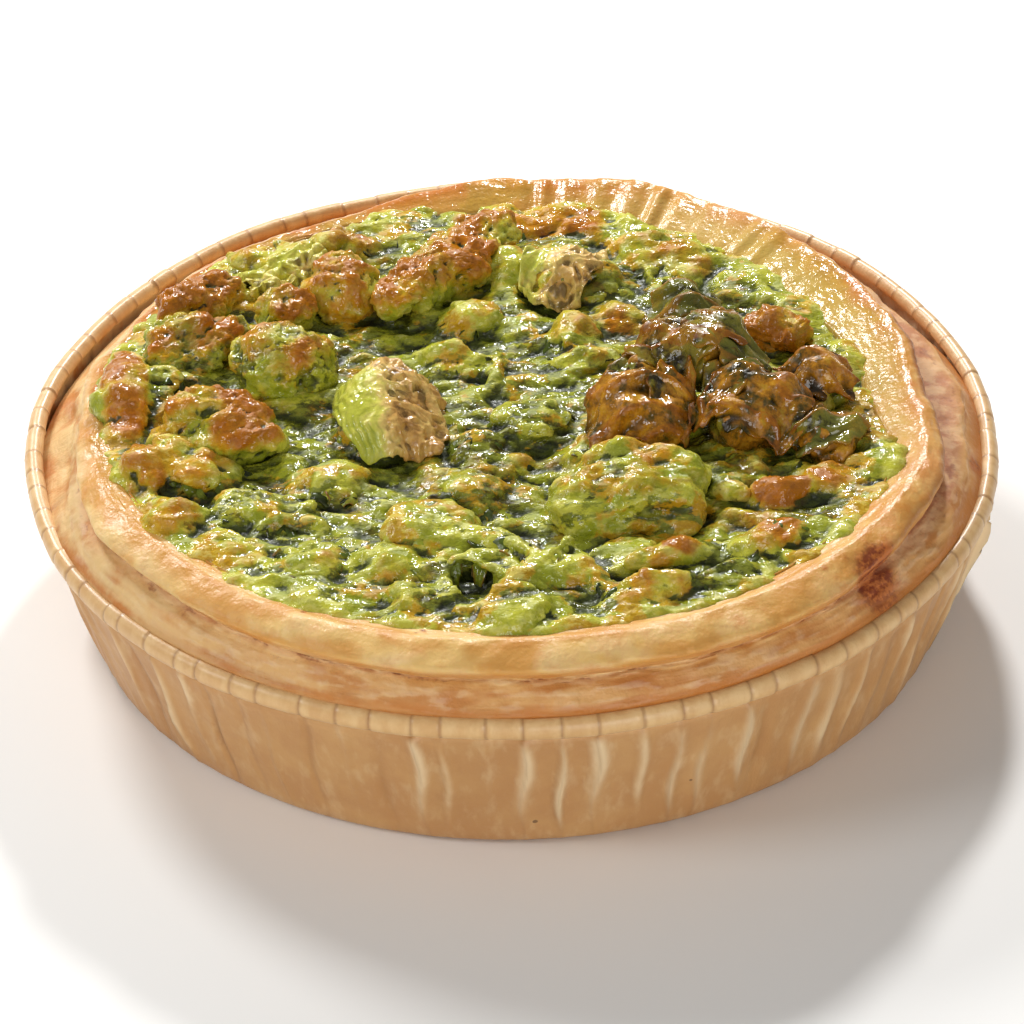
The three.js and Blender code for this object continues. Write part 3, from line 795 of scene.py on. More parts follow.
# Lobes of custard and leaf from front to back:
# x, y, half length, half width, turn, rise, share of leaf, share of browning
fillingLobes = [
    (1, -46.6, 10.5, 3.4, 0, 2.8, 0.4, 0.05),
    (-10, -44, 6, 4, -6, 3, 0.4, 0.1),
    (16, -44.2, 6.6, 3.8, 10, 3.8, 0.15, 0.65),
    (23.5, -42.4, 6, 2.8, 24, 2.6, 0.95, 0.1),
    (4, -39, 8, 4.6, 6, 4.6, 0.15, 0.1),
    (12.3, -36, 5.6, 4.4, 0, 4, 0.3, 0.2),
    (19.3, -36, 2.9, 3, 0, 3.4, 0.0, 0.8),
    (-15.7, -36.6, 6.4, 4.8, 12, 3.8, 0.3, 0.1),
    (-25, -35.3, 5.6, 4.6, -8, 3.4, 0.35, 0.2),
    (-33.3, -32.2, 6, 4, -34, 3, 0.2, 0.6),
    (29.3, -34.5, 5.6, 3.8, 36, 3.8, 0.1, 0.7),
    (-8.7, -30.5, 5.8, 8, 8, 5, 0.2, 0.15),
    (-40.6, -25.6, 4.4, 5, 20, 3, 0.3, 0.4),
    (-31, -23.3, 7, 4.6, -16, 3.8, 0.5, 0.2),
    (32, -25, 3.8, 3.2, 0, 3.8, 0.1, 1.0),
    (37, -22.4, 4, 4, 0, 3, 0.2, 0.5),
    (26, -20.5, 4, 4.2, 0, 3.2, 0.8, 0.2),
    (-5, -20.9, 4.4, 5, 0, 3.6, 0.6, 0.1),
    (-21.7, -17.7, 6, 5, 20, 4, 0.4, 0.15),
    (-37.6, -15.3, 5, 4.4, 0, 3.6, 0.1, 0.7),
    (-44, -16, 3.4, 6, 12, 3.6, 0.2, 0.7),
    (-47, 0.5, 3.6, 11, 4, 4.6, 0.0, 0.85),
    (9.6, -13.4, 4.4, 4, 0, 3.6, 0.5, 0.1),
    (-3.6, -11, 5, 4.6, 30, 4, 0.7, 0.1),
    (-15, -5, 6, 8, -12, 4.4, 0.6, 0.3),
    (3.7, -6.5, 5, 4, -20, 3.6, 0.6, 0.1),
    (10.3, 8, 5.4, 4, 10, 3.6, 0.1, 0.1),
    (-6.2, 8, 6, 3.2, -22, 3.8, 0.2, 0.4),
    (8.6, 13.6, 4, 3.6, 40, 4, 0.0, 0.6),
    (-4.5, 17.7, 4.2, 3.4, 16, 3.8, 0.2, 0.5),
    (14.6, 17, 5, 4, -30, 3.2, 0.3, 0.6),
    (1, 28, 4, 4.6, 0, 4.6, 0.15, 0.1),
    (8.6, 25.6, 6.4, 5, -20, 4.4, 0.8, 0.3),
    (31.3, 2.6, 3.6, 6, 0, 2.6, 0.3, 0.0),
    (20, 31, 9, 4.6, -34, 3, 0.1, 0.5),
    (-22, 36, 12, 4.4, 30, 3.4, 0.1, 0.5),
    (4, 41, 12, 4, -4, 2.6, 0.0, 0.8),
]


def fillingLevel(x, y):
    azimuth = np.arctan2(y, x)
    toEdge = around("lipRadius", azimuth) * wobble(azimuth) - np.hypot(x, y)
    edge = around("fillingEdge", azimuth) + fillingValues["edgeRise"]
    share = ramp(toEdge, 0, fillingValues["edgeRamp"])
    return edge * (1 - share) + fillingValues["level"] * share, toEdge


def lobeShare(lobe, x, y):  # 1 at the middle of a lobe, 0 at its rim
    cx, cy, halfX, halfY, turn = lobe[:5]
    angle = math.radians(turn)
    across = ((x - cx) * math.cos(angle) + (y - cy) * math.sin(angle)) / halfX
    along = ((y - cy) * math.cos(angle) - (x - cx) * math.sin(angle)) / halfY
    return 1 - across**2 - along**2


def fillingHeight(x, y):
    level, toEdge = fillingLevel(x, y)
    rise = np.zeros_like(level)
    for lobe in fillingLobes:
        rise = np.maximum(rise, lobe[5] * np.sqrt(np.maximum(0, lobeShare(lobe, x, y))))
    return level + ramp(toEdge, 0, fillingValues["edgeFade"]) * (rise - fillingValues["between"])


def heightAt(x, y):
    return float(fillingHeight(np.array([x]), np.array([y]))[0])


def toCrust(x, y):  # how far inside the crust's lip a place is
    return float(fillingLevel(np.array([x]), np.array([y]))[1][0])


def makeSlab(values):  # the level that the lobes stand on
    sectors, rings = 200, 46
    slab, step, sector = ringWall(sectors, rings)
    share = np.clip((rings - 1 - np.arange(rings)) / (rings - 3), 0, 1)
    share[:2] = (0.02, 1)
    azimuth = np.arange(sectors) * 2 * math.pi / sectors
    reach = (around("lipRadius", azimuth) + 0.9) * wobble(azimuth)
    radius = np.maximum(share, 0.02)[:, None] * reach
    height = fillingLevel(radius * np.cos(azimuth), radius * np.sin(azimuth))[0] + values["slabRise"]
    height[:2] = values["slabBottom"]
    writePlaces(slab, onRings(radius, height, sectors)[step, sector])
    capEnds(slab)
    return slab


def makeFilling(values):
    draw = random.Random(23)
    parts = [makeSlab(values)]
    bpy.ops.object.select_all(action="DESELECT")
    bpy.ops.mesh.primitive_ico_sphere_add(subdivisions=3, radius=mm)
    seed = bpy.context.object
    for x, y, halfX, halfY, turn, rise, *_ in fillingLobes:
        level = float(fillingLevel(np.array([x]), np.array([y]))[0][0]) - 1
        half = (values["lobeWiden"] * halfX, values["lobeWiden"] * halfY, values["lobeTall"] * rise)
        place = (x, y, level - values["lobeSunk"] * rise)
        parts.append(placedCopy(seed, place, half, math.radians(turn), draw.uniform(-0.1, 0.1)))
    leafX, leafY, room = values["leafRoom"]
    for kind, count, long, wide, tall, sunk in values["lumps"]:
        for _ in range(count):
            out, azimuth = values["reach"] * math.sqrt(draw.random()), draw.uniform(0, 2 * math.pi)
            x, y = out * math.cos(azimuth), out * math.sin(azimuth)
            half = (draw.uniform(*long), draw.uniform(*wide), draw.uniform(*tall))
            if toCrust(x, y) < 0.75 * half[0] or math.hypot(x - leafX, y - leafY) < room:
                continue
            z = heightAt(x, y) - sunk * half[2]
            lean = draw.uniform(-0.5, 0.5) if kind == "fold" else 0.0
            turn = draw.uniform(0, 3.14)
            parts.append(placedCopy(seed, (x, y, z), half, turn, draw.uniform(-0.15, 0.15), lean))
    bpy.data.objects.remove(seed)
    filling = joined(parts)
    applyModifier(filling, "REMESH", mode="VOXEL", voxel_size=values["voxel"] * mm)
    filling = cutBelow(filling, values)
    for layer in values["folds"]:
        foldSurface(filling, *layer)
    return filling


def cutBelow(filling, values):  # the skirt inside the crust needs only a few faces
    only(filling)
    bpy.ops.object.mode_set(mode="EDIT")
    bpy.ops.mesh.select_mode(type="VERT")
    bpy.ops.mesh.select_all(action="SELECT")
    level = (0, 0, values["keepAbove"] * mm)
    bpy.ops.mesh.bisect(plane_co=level, plane_no=(0, 0, 1), clear_inner=True, threshold=1e-7)
    bpy.ops.mesh.select_all(action="DESELECT")
    bpy.ops.mesh.select_non_manifold()
    down = {"value": (0, 0, (values["bottom"] - values["keepAbove"]) * mm)}
    bpy.ops.mesh.extrude_region_move(TRANSFORM_OT_translate=down)
    bpy.ops.transform.resize(value=(0.9, 0.9, 1), center_override=(0, 0, 0))
    bpy.ops.mesh.edge_face_add()
    bpy.ops.object.mode_set(mode="OBJECT")
    return filling


def markFilling(filling):
    places = readPlaces(filling)
    x, y = places[:, 0], places[:, 1]
    best = np.zeros(len(places))
    leaf = np.full(len(places), 0.55)
    toast = np.full(len(places), 0.25)
    for lobe in fillingLobes:
        share = lobeShare(lobe, x, y)
        wins = share > best
        best = np.where(wins, share, best)
        weight = ramp(share, 0, 0.5)
        leaf = np.where(wins, 0.55 * (1 - weight) + lobe[6] * weight, leaf)
        toast = np.where(wins, 0.25 * (1 - weight) + (0.1 + lobe[7]) * weight, toast)
    toEdge = fillingLevel(x, y)[1]
    setMark(filling, "leaf", leaf * (0.4 + 0.6 * ramp(toEdge, 0, 4)))
    setMark(filling, "toast", toast)
    markRelief(filling, 10, 55)


def fillingFinish(name):
    finish = Finish(name)
    relief = finish.mark("relief")
    crag = finish.mark("crag")
    leafShare = finish.mark("leaf")
    toastShare = finish.mark("toast")
    curds = finish.cloud(3.4, 5, 0.6, finish.stretched((0.6, 1, 1)))
    patches = finish.cloud(7.5, 4, 0.6, shift=0.11)
    strands = finish.cloud(1.1, 6, 0.72, finish.stretched((0.45, 1, 1)), 0.23)
    # lighter lime from the curd mottling, plus painted light where the surface stands up
    color = finish.mix((curds + 0.12 * relief).ramp(0.42, 0.6), "929824", "bebc3e")
    golden = (finish.cloud(6, 4, 0.6, shift=0.61) + 0.15 * (curds - 0.5)).ramp(0.5, 0.58)
    color = finish.mix(golden * 0.85, color, finish.mix(strands.ramp(0.4, 0.6), "b48214", "d6a828"))
    # painted highlight: pale spots on the strands and the raised crags
    color = finish.mix((strands + 0.25 * crag).ramp(0.5, 0.66) * 0.5, color, "deda80")
    leafy = (curds * 0.8 + leafShare * 0.4 + strands * 0.65 - relief * 0.14 - crag * 0.3).ramp(0.88, 0.96)
    leafColor = finish.mix(strands.ramp(0.42, 0.6), "2b3210", "7d8428")
    color = finish.mix(leafy * 0.93, color, leafColor)
    toasted = (toastShare * 0.88 + (patches - 0.5) * 2.2 + relief * 0.1 + crag * 0.15).ramp(0.3, 1.0)
    browns = [(0.12, "caa020"), (0.4, "cc8c16"), (0.66, "bc6e0c"), (0.98, "964a08")]
    toast = finish.bands(toasted * 0.65 + strands * 0.8 - 0.22, browns)
    color = finish.mix(toasted * 0.92, color, toast)
    # painted shade: near black-green in the hollows between lobes and folds
    deep = (0.0 - relief * 0.95 - 2.1 * crag + (strands - 0.5) * 1.2).ramp(0.18, 0.56)
    color = finish.mix(deep * 0.92, color, finish.mix(strands.ramp(0.4, 0.6), "12180a", "3c4512"))
    normal = finish.wet(finish.bump(curds, 0.5))
    finish.surface({
        "Base Color": color,
        "Roughness": 0.08 + 0.5 * finish.cloud(1.6, 3, 0.6, shift=0.4).ramp(0.46, 0.62) + 0.3 * deep,
        "Normal": normal,
        "Specular IOR Level": 0.42,
    })
    return finish


filling = makeFilling(fillingValues)
markFilling(filling)
custardFinish = fillingFinish("baked custard and leaf")
finishPiece(filling, "baked_spinach_filling", custardFinish, ["spinach_filling"], 180)
print("filling made")


# Spinach scraps

scrapValues = {
    "count": 300,
    "reach": 46.5,
    "thickness": 0.22,
    "cellSize": 0.35,  # of the raster that holds the filling's height
    "halfLength": (1.6, 4.2),
    "halfWidth": (0.8, 2.0),
}
rasterSpan = 110  # mm, the side of the square that the rasters cover

# scraps that stand out in front: x, y, half length, half width, turn, tone from dark to pale
namedScraps = [
    (-28.5, -4.1, 4.6, 2.0, 24, 0.1),
    (-23.7, -8.7, 4.0, 1.8, -20, 0.15),
    (-1.3, 23.5, 4.2, 2.0, 8, 0.1),
    (-6.6, 14.7, 4.4, 1.7, -28, 0.15),
    (2.7, 3.6, 4.6, 2.0, 30, 0.1),
    (23.3, -43.2, 5.6, 1.8, 24, 0.1),
    (30, -38, 3.6, 1.4, 34, 0.2),
    (-9.6, -12.2, 4.8, 2.0, 70, 0.3),
    (-8.1, -30.5, 3.6, 1.8, 60, 0.25),
    (7.7, -23.1, 3.8, 3.0, 84, 0.05),
    (-1.6, -29.5, 3.0, 1.6, 20, 0.1),
    (22.2, 14.2, 4.2, 2.2, 60, 0.0),
    (26, -20.1, 3.0, 1.8, 0, 0.15),
    (-40, -1, 3.2, 2.2, 80, 0.05),
    (-34, -10, 3.4, 1.6, -10, 0.2),
    (-3, 5.7, 4.2, 1.6, -10, 0.05),
    (36, -19, 4.2, 1.5, 50, 0.2),
    (-3.5, -25, 4.6, 2.6, 15, 0.0),
    (1.5, -31.5, 3.4, 2.0, -35, 0.05),
    (-12.5, -20, 4.0, 2.2, 50, 0.0),
    (-33, 17, 3.8, 2.2, 40, 0.0),
    (-22, 15, 3.6, 2.0, 20, 0.1),
]


def rasterHeights(pieces, cell, rounds=3, reach=0, steep=1.0):
    # the pieces' height over a square grid, softened a little, with slopes that fall away like a tent's
    places = np.concatenate([readPlaces(piece) for piece in pieces])
    size = int(rasterSpan / cell)
    column = np.clip(((places[:, 0] + rasterSpan / 2) / cell).astype(int), 0, size - 1)
    row = np.clip(((places[:, 1] + rasterSpan / 2) / cell).astype(int), 0, size - 1)
    heights = np.zeros((size, size))
    np.maximum.at(heights, (row, column), places[:, 2])
    for _ in range(reach):
        for turn in (-1, 1):
            for axis in (0, 1):
                heights = np.maximum(heights, np.roll(heights, turn, axis) - steep * cell)
    for _ in range(rounds):
        spread = sum(np.roll(heights, turn, axis) for turn in (-1, 1) for axis in (0, 1)) / 4
        heights = np.where(heights < 20, spread, 0.5 * heights + 0.5 * spread)
    return heights


def sampleHeights(heights, cell, x, y):
    size = len(heights) - 1
    column = np.clip(((x + rasterSpan / 2) / cell).astype(int), 0, size)
    row = np.clip(((y + rasterSpan / 2) / cell).astype(int), 0, size)
    return heights[row, column]


def makeScraps(values, filling):
    draw = random.Random(5)
    heights = rasterHeights([filling], values["cellSize"])
    bpy.ops.object.select_all(action="DESELECT")
    bpy.ops.mesh.primitive_grid_add(x_subdivisions=9, y_subdivisions=5, size=2 * mm)
    seed = bpy.context.object
    flat = readPlaces(seed)
    along, side = flat[:, 0], flat[:, 1]
    scraps = []
    for x, y, long, wide, turn, tone in namedScraps:
        scraps.append((x, y, long, wide, math.radians(turn), tone, 0.35))
    for _ in range(values["count"]):
        out, azimuth = values["reach"] * math.sqrt(draw.random()), draw.uniform(0, 2 * math.pi)
        size = (draw.uniform(*values["halfLength"]), draw.uniform(*values["halfWidth"]))
        tone = draw.random() ** 1.6
        x, y, turn = out * math.cos(azimuth), out * math.sin(azimuth), draw.uniform(-0.9, 0.9)
        if toCrust(x, y) > size[0]:
            scraps.append((x, y, *size, turn, tone, 0.2))
    pieces = []
    for index, (x, y, long, wide, turn, tone, lift) in enumerate(scraps):
        ragged = 1 + 0.35 * np.sin(7 * along + 5.1 * index) * np.sin(3 * along + index)
        outline = np.sqrt(np.maximum(0.06, 1 - 0.9 * along**2)) * ragged
        bend = 0.3 * math.sin(2.3 * index)
        u, v = long * along, wide * (side * outline + bend * along**2)
        across = x + u * math.cos(turn) - v * math.sin(turn)
        forward = y + u * math.sin(turn) + v * math.cos(turn)
        drape = sampleHeights(heights, values["cellSize"], across, forward)
        level = 0.75 * drape + 0.25 * drape.mean()
        ripple = 0.3 * np.sin(4.2 * along + 1.7 * index) * side + 0.22 * np.cos(6 * along + 2.9 * index)
        scrap = placedCopy(seed, (0, 0, 0), (1, 1, 1), 0)
        writePlaces(scrap, np.stack([across, forward, level + lift + ripple], axis=-1))
        setMark(scrap, "tone", np.full(len(along), tone))
        sideVeins = hump(np.sin(9 * along + 2 * np.abs(side)), 1, 0.3)
        setMark(scrap, "vein", np.maximum(hump(side, 0, 0.16), 0.5 * sideVeins))
        setMark(scrap, "edge", np.maximum(ramp(np.abs(side), 0.7, 1), ramp(np.abs(along), 0.8, 1)))
        pieces.append(scrap)
    bpy.data.objects.remove(seed)
    scraps = joined(pieces)
    applyModifier(scraps, "SOLIDIFY", thickness=values["thickness"] * mm, offset=0)
    roughen(scraps, 1.2, 0.35)
    return scraps


def scrapFinish():
    finish = Finish("cooked spinach leaf")
    tone = finish.mark("tone")
    strands = finish.cloud(0.7, 5, 0.65)
    patches = finish.cloud(2.2, 4, 0.6, shift=0.2)
    greens = [(0.0, "20260a"), (0.3, "3c460f"), (0.5, "6a731c"), (0.68, "a4a834")]
    greens += [(0.82, "b08e34"), (1.0, "854a1c")]
    color = finish.bands(tone * 0.8 + strands * 0.5 - 0.2, greens)
    color = finish.mix(finish.mark("vein") * 0.5, color, "7f9638")
    color = finish.mix((finish.mark("edge") * 0.6 + patches * 0.8).ramp(0.75, 1.05) * tone, color, "8a4f1c")
    normal = finish.wet()
    finish.surface({
        "Base Color": color,
        "Roughness": 0.08 + 0.4 * patches.ramp(0.46, 0.62),
        "Normal": normal,
        "Specular IOR Level": 0.4,
    })
    return finish


leafFinish = scrapFinish()
finishPiece(makeScraps(scrapValues, filling), "spinach_scraps", leafFinish, [], 180)
print("spinach scraps laid")


# Toppings

# size, depth, stretch and sharpness of each layer of folds, coarse ones first
foldKinds = {
    "folded": [(5.0, 1.0, (1, 1, 0.5), 0.9), (2.2, 0.55, (1, 1, 0.35), 0.9), (1.0, 0.22, (1, 1, 0.5), 0.7)],
    "crumbly": [
        (6.0, 1.6, (0.8, 1, 1), 0.2),
        (2.6, 0.9, (0.7, 1, 1), 0.5),
        (1.2, 0.55, (1, 1, 1), 0.75),
        (0.65, 0.26, (1, 1, 1), 0.6),
    ],
    "custard": [(8.0, 1.8, (0.7, 1, 1), 0.2), (3.2, 0.8, (0.5, 1, 1), 0.5), (1.4, 0.35, (0.5, 1, 1), 0.6)],
}

# node, name, slot, kind, share of leaf, browning low down, browning at the top
toppings = [
    ("leaf_petal_left", "folded_leaf_left", "spinach_leaf", "folded", 0.5, 0.8, 0.9),
    ("leaf_petal_right", "folded_leaf_right", "spinach_leaf", "folded", 0.4, 0.85, 0.95),
    ("leaf_cap", "folded_leaf_top", "spinach_leaf", "folded", 0.8, 0.7, 0.85),
    ("leaf_dark_edge", "curled_leaf_right", "spinach_leaf", "folded", 0.9, 0.3, 0.75),
    ("leaf_golden_right", "golden_leaf_right", "spinach_leaf", "crumbly", 0.5, 0.4, 0.9),
    ("browned_nub", "burnt_nub", "browned_topping", "crumbly", 0.1, 0.9, 1.2),
    ("leaf_dark_back", "dark_leaf_rear", "spinach_leaf", "folded", 1.4, 0.0, 0.1),
    ("floret_back", "browned_ridge_rear", "browned_topping", "crumbly", 0.25, 0.45, 1.1),
    ("browned_tip_rear", "browned_tip_behind", "browned_topping", "crumbly", 0.1, 0.55, 1.0),
    ("browned_tip_left", "browned_tip_beside", "browned_topping", "crumbly", 0.1, 0.5, 1.1),
    ("floret_left_rear", "crumbly_lump_rear", "browned_topping", "crumbly", 0.2, 0.45, 1.15),
    ("floret_left_middle", "crumbly_lump_middle", "browned_topping", "crumbly", 0.6, 0.1, 1.0),
    ("floret_left_inner", "crumbly_lump_inner", "browned_topping", "crumbly", 0.5, 0.1, 0.8),
    ("floret_left_front", "crumbly_lump_front", "browned_topping", "crumbly", 0.15, 0.35, 1.0),
    ("custard_lobe_centre", "custard_lobe_front", "egg_custard", "custard", 0.35, 0.1, 0.55),
]


def copyOfNode(node):  # the node's own mesh, merged, in a new object
    piece = bpy.data.objects.new(node + "_dressed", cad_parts[node].data.copy())
    bpy.context.scene.collection.objects.link(piece)
    only(piece)
    bpy.ops.object.mode_set(mode="EDIT")
    bpy.ops.mesh.select_all(action="SELECT")
    bpy.ops.mesh.remove_doubles(threshold=0.01 * mm)
    bpy.ops.object.mode_set(mode="OBJECT")
    return piece


def facets(places, low, high, draw):  # flat faces with soft ridges between them, and a tone for each face
    middle, half = (low + high) / 2, (high - low) / 2
    local = (places - middle) / half
    reach = np.maximum(np.sqrt((local**2).sum(1)), 1e-6)
    outward = local / reach[:, None]
    spin = draw.uniform(0, 6.28)
    faces, tones = [], []
    for count, rise in ((3, 1.05), (5, 0.35), (5, -0.4)):
        for index in range(count):
            azimuth = spin + 6.283 * (index + draw.uniform(-0.25, 0.25)) / count + 2 * rise
            up = rise + draw.uniform(-0.2, 0.2)
            out = (math.cos(up) * math.cos(azimuth), math.cos(up) * math.sin(azimuth), math.sin(up))
            faces.append(np.array(out) / draw.uniform(0.8, 0.98))
            tones.append(draw.random())
    near = np.maximum(outward @ np.array(faces).T, 0) ** 16
    total = near.sum(1)
    flattened = 1 / total ** (1 / 16)
    tone = (near * np.array(tones)).sum(1) / total
    ridge = 1 - near.max(1) / total
    return middle + local * (0.3 + 0.7 * flattened)[:, None] * half, tone, ridge


def makeClump(node, kind, leafShare, toastLow, toastHigh, draw):
    piece = copyOfNode(node)
    applyModifier(piece, "SUBSURF", levels=2, render_levels=2)
    applyModifier(piece, "REMESH", mode="VOXEL", voxel_size=0.3 * mm)
    places = readPlaces(piece)
    low, high = (np.array(corner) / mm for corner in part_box(node))
    if kind == "folded":
        places, tone, ridge = facets(places, low, high, draw)
        setMark(piece, "tone", tone)
        setMark(piece, "vein", ridge)
    drift = np.array([noise.noise_vector(point) for point in (places / 6 + 3).tolist()])
    writePlaces(piece, places + 1.2 * drift)
    for layer in foldKinds[kind]:
        foldSurface(piece, *layer)
    up = ramp((readPlaces(piece)[:, 2] - low[2]) / (high[2] - low[2]), 0.4, 0.95)
    setMark(piece, "leaf", np.full(len(places), leafShare))
    setMark(piece, "toast", toastLow + (toastHigh - toastLow) * up)
    markRelief(piece, 8, 40)
    return piece


def brownedLeafFinish():
    finish = Finish("browned folded leaf")
    tone = finish.mark("tone")
    relief = finish.mark("relief")
    toast = finish.mark("toast")
    patches = finish.cloud(3.5, 4, 0.6, shift=0.2)
    strands = finish.cloud(1.1, 6, 0.7, finish.stretched((1, 1, 0.4)))
    browns = [(0.24, "221c0a"), (0.4, "544412"), (0.53, "8e5e14"), (0.66, "b67c1a"), (0.87, "d0a030")]
    color = finish.bands(patches * 1.3 + strands * 0.9 + 0.3 * tone - 0.72, browns)
    green = (strands * 0.7 - 0.6 * tone + patches * 0.4).ramp(0.3, 0.45)
    color = finish.mix(green * 0.7, color, "7c7c28")
    burnt = (finish.mark("vein") * 0.7 + 0.5 * relief + patches * 0.5).ramp(0.55, 0.95) * toast
    color = finish.mix(burnt * 0.6, color, "a45810")
    # painted shade: near black in the hollows and creases
    deep = (0.05 - relief * 1.0 - 2.4 * finish.mark("crag") + (strands - 0.5) * 0.7).ramp(0.22, 0.7)
    color = finish.mix(deep * 0.9, color, "1c160a")
    normal = finish.wet()
    finish.surface({
        "Base Color": color,
        "Roughness": 0.08 + 0.4 * finish.cloud(1.6, 3, 0.6, shift=0.4).ramp(0.46, 0.62),
        "Normal": normal,
        "Specular IOR Level": 0.5,
    })
    return finish


draw = random.Random(11)
brownedFinish = brownedLeafFinish()
clumps = []
for node, name, slot, kind, leafShare, toastLow, toastHigh in toppings:
    clump = makeClump(node, kind, leafShare, toastLow, toastHigh, draw)
    finishPiece(clump, name, brownedFinish if kind == "folded" else custardFinish, [node], 180)
    clumps.append(clump)
print("clumps on top made")


# Browned leaves draped over the folded clumps

# beside a node: offset, half length, half width, turn, tone from dark to golden
drapeList = [
    ("leaf_petal_left", (-1.2, -2.2), 6.4, 5.4, 8, 0.75),
    ("leaf_petal_left", (3.4, -0.8), 5.4, 3.0, 84, 0.45),
    ("leaf_petal_right", (0.8, -1.8), 6.2, 5.2, -14, 0.5),
    ("leaf_petal_right", (-3.4, 0.6), 5.4, 3.2, 60, 0.3),
    ("leaf_cap", (-1.5, -0.6), 7.6, 4.4, 12, 0.32),
    ("leaf_cap", (3.6, -1.4), 5.4, 3.6, -34, 0.15),
    ("leaf_dark_edge", (0, -0.8), 5.0, 3.6, 20, 0.2),
    ("leaf_golden_right", (0, -0.8), 5.2, 3.4, 10, 0.7),
    ("leaf_dark_back", (0, -0.6), 5.2, 3.8, -20, 0.0),
]
drapeValues = {
    "cellSize": 0.3,
    "rounds": 8,
    "reach": 22,
    "steep": 1.15,
    "thickness": 0.3,
    "lift": 0.3,
    "ceiling": 38.4,  # the highest folds flatten out below this
}


def makeDrapes(values, below):
    heights = rasterHeights(below, values["cellSize"], values["rounds"], values["reach"], values["steep"])
    bpy.ops.object.select_all(action="DESELECT")
    bpy.ops.mesh.primitive_grid_add(x_subdivisions=56, y_subdivisions=40, size=2 * mm)
    seed = bpy.context.object
    flat = readPlaces(seed)
    along, side = flat[:, 0], flat[:, 1]
    drapes = []
    for index, (node, offset, long, wide, turn, tone) in enumerate(drapeList):
        low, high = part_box(node)
        middle = (low + high) / 2 / mm
        ragged = 1 + 0.13 * np.sin(5 * along + 2.1 * index) + 0.09 * np.sin(11 * along + index)
        u = long * along * (1 - 0.12 * side**2 + 0.05 * np.sin(7 * side + index))
        v = wide * side * np.sqrt(1 - 0.6 * along**2) * ragged
        angle = math.radians(turn)
        x = middle.x + offset[0] + u * math.cos(angle) - v * math.sin(angle)
        y = middle.y + offset[1] + u * math.sin(angle) + v * math.cos(angle)
        level = sampleHeights(heights, values["cellSize"], x, y)
        places = np.stack([x, y, level + values["lift"] + 0.25 * (index % 3)], axis=-1)
        drape = placedCopy(seed, (0, 0, 0), (1, 1, 1), 0)
        writePlaces(drape, smoothed(drape, places, 4))
        lengthwise = np.stack([u, v, np.full(len(u), 9.0 * index)], axis=-1)
        crease = foldsAt(lengthwise, 4.5, 1, (0.45, 1, 1), 0.4)
        wrinkle = foldsAt(lengthwise, 1.8, 2, (0.5, 1, 1), 0.5)
        pushOut(drape, 1.3 * (0.6 - crease) + 0.5 * (0.5 - wrinkle))
        places = readPlaces(drape)
        above = np.maximum(places[:, 2] - values["ceiling"] + 1, 0)
        places[:, 2] += np.tanh(above) - above
        writePlaces(drape, places)
        edge = np.maximum(ramp(np.abs(side), 0.78, 1), ramp(np.abs(along), 0.85, 1))
        setMark(drape, "tone", tone + 0.25 * noiseAt(lengthwise, 5))
        setMark(drape, "vein", np.maximum(ramp(0.25 - crease, 0, 0.25), 0.8 * edge))
        setMark(drape, "toast", np.full(len(u), 0.75))
        # the creases' depth, read by the finish for the browning on ridges and the painted shade in the
        # creases
        setMark(drape, "relief", 0.5 - crease)
        setMark(drape, "crag", 0.2 * (0.5 - wrinkle))
        drapes.append(drape)
    bpy.data.objects.remove(seed)
    drapes = joined(drapes)
    applyModifier(drapes, "SOLIDIFY", thickness=values["thickness"] * mm, offset=0)
    return drapes


drapes = makeDrapes(drapeValues, [filling, *clumps])
finishPiece(drapes, "draped_browned_leaves", brownedFinish, [], 180)
print("browned leaves draped")

# Ribbed leaves

# node, name, middle, turn, pitch of the ribs and their depth, tone on the green side and the other, slope
leaves = [
    ("leaf_stalk_upright", "ribbed_leaf_upright", (-14.6, -4.6), 100, 0.85, 0.1, 0.0, 0.72, 0.28),
    ("leaf_crinkled_rear", "crinkled_leaf_rear", (7.4, 26), 66, 1.3, 0.15, 0.15, 0.6, 0.2),
    ("leaf_ribbed_rear_left", "ribbed_leaf_rear", (-29.6, 29), 34, 0.9, 0.15, 0.0, 0.3, 0.0),
]


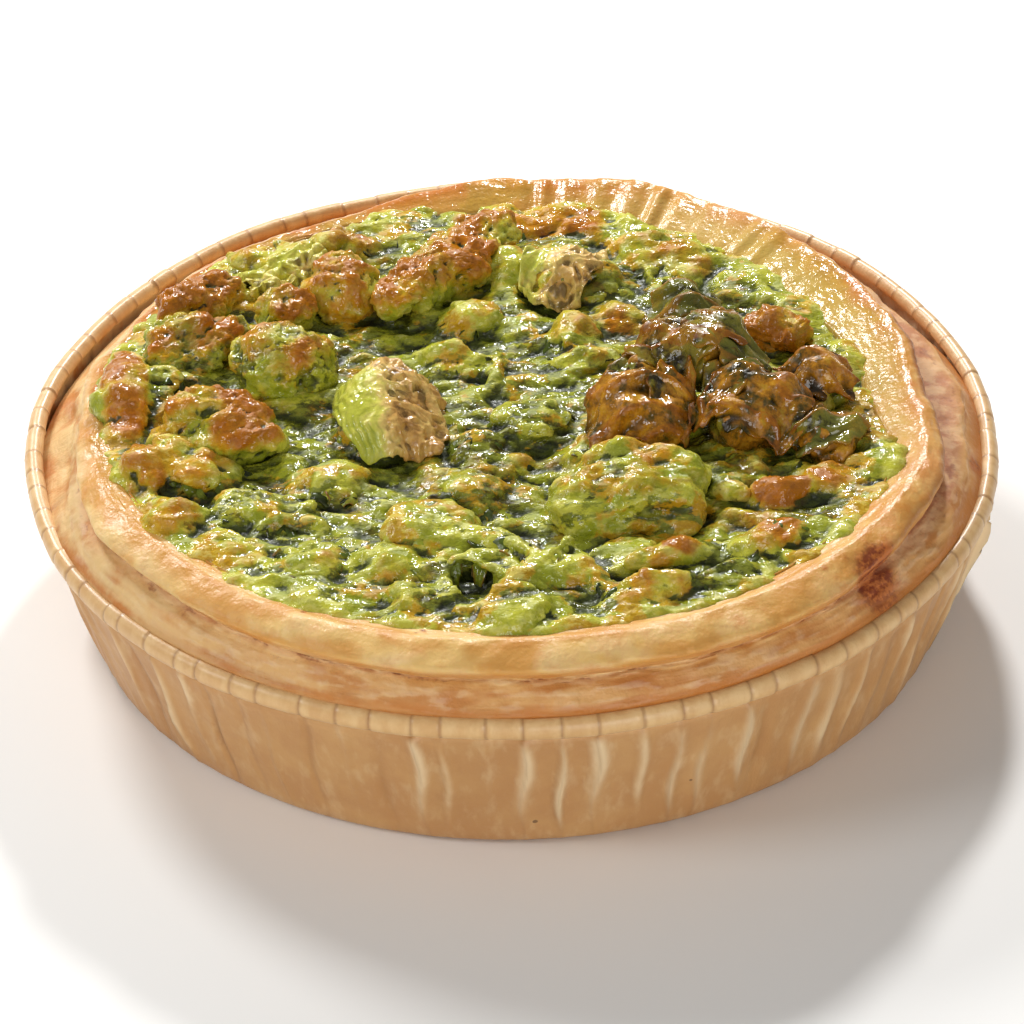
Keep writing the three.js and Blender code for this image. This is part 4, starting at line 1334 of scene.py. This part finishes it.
def makeLeaf(node, middle, turn, pitch, depth, toneGreen, toneOther, slope):
    piece = copyOfNode(node)
    applyModifier(piece, "SUBSURF", levels=4, render_levels=4)
    places = readPlaces(piece)
    low, high = (np.array(corner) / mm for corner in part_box(node))
    away = ((places - (low + high) / 2) / (high - low) * np.array([1.4, -1.2, 0])).sum(1)
    # it falls towards the front right
    places[:, 2] -= slope * ramp(away, -0.5, 0.9) * (places[:, 2] - low[2])
    writePlaces(piece, places)
    angle = math.radians(turn)
    side = (places[:, 1] - middle[1]) * math.cos(angle) - (places[:, 0] - middle[0]) * math.sin(angle)
    side += 0.9 * noiseAt(places, 5, 2) + 0.3 * noiseAt(places, 1.6, 3)
    shift = ramp(side + 0.8 * noiseAt(places, 2, 4), -0.6, 4.2)
    rib = np.cos(2 * math.pi * side / pitch) * np.clip(0.6 + noiseAt(places, 3, 5), 0.1, 1)
    crease = foldsAt(places, 3.2, 1, (1, 1, 0.4), 0.5)
    wrinkle = foldsAt(places, 1.4, 2, (1, 1, 0.4), 0.5)
    crumple = 0.8 * (0.5 - crease) + 0.4 * (0.5 - wrinkle)
    pushOut(piece, depth * rib * shift + crumple * (1 - 0.92 * shift))
    setMark(piece, "tone", toneOther + (toneGreen - toneOther) * shift + 0.2 * noiseAt(places, 3))
    # the low side of each rib, for painted shade
    setMark(piece, "groove", ramp(-rib, 0.2, 0.9) * shift)
    # how far the wrinkles stand out, for the painted shade in their hollows
    setMark(piece, "crag", (0.5 - wrinkle + 0.5 * (0.5 - crease)) * (1 - shift))
    return piece


def ribbedLeafFinish():
    finish = Finish("ribbed leaf")
    strands = finish.cloud(0.9, 6, 0.7, finish.stretched((1, 1, 0.3)))
    patches = finish.cloud(2.6, 4, 0.6, shift=0.2)
    greens = [(0.0, "b6b840"), (0.25, "d2cc5c"), (0.5, "e0c070"), (0.75, "cc9c54"), (1.0, "9c6c34")]
    color = finish.bands(finish.mark("tone") + (strands - 0.5) * 0.9 + (patches - 0.5) * 0.5, greens)
    # painted shade: darker green in the grooves between the ribs
    color = finish.mix(finish.mark("groove") * 0.5, color, "7c8c2a")
    # dark brown flecks from the strands, plus painted shade in the wrinkles' hollows
    deep = (strands * 1.2 - 0.9 * finish.mark("crag") - 0.45).ramp(0.2, 0.7)
    color = finish.mix(deep * 0.7, color, "3a2c0e")
    normal = finish.wet()
    finish.surface({
        "Base Color": color,
        "Roughness": 0.08 + 0.35 * patches.ramp(0.46, 0.62),
        "Normal": normal,
        "Specular IOR Level": 0.5,
    })
    return finish


ribbedFinish = ribbedLeafFinish()
for node, name, *shape in leaves:
    finishPiece(makeLeaf(node, *shape), name, ribbedFinish, [node], 180)
print("leaves made")
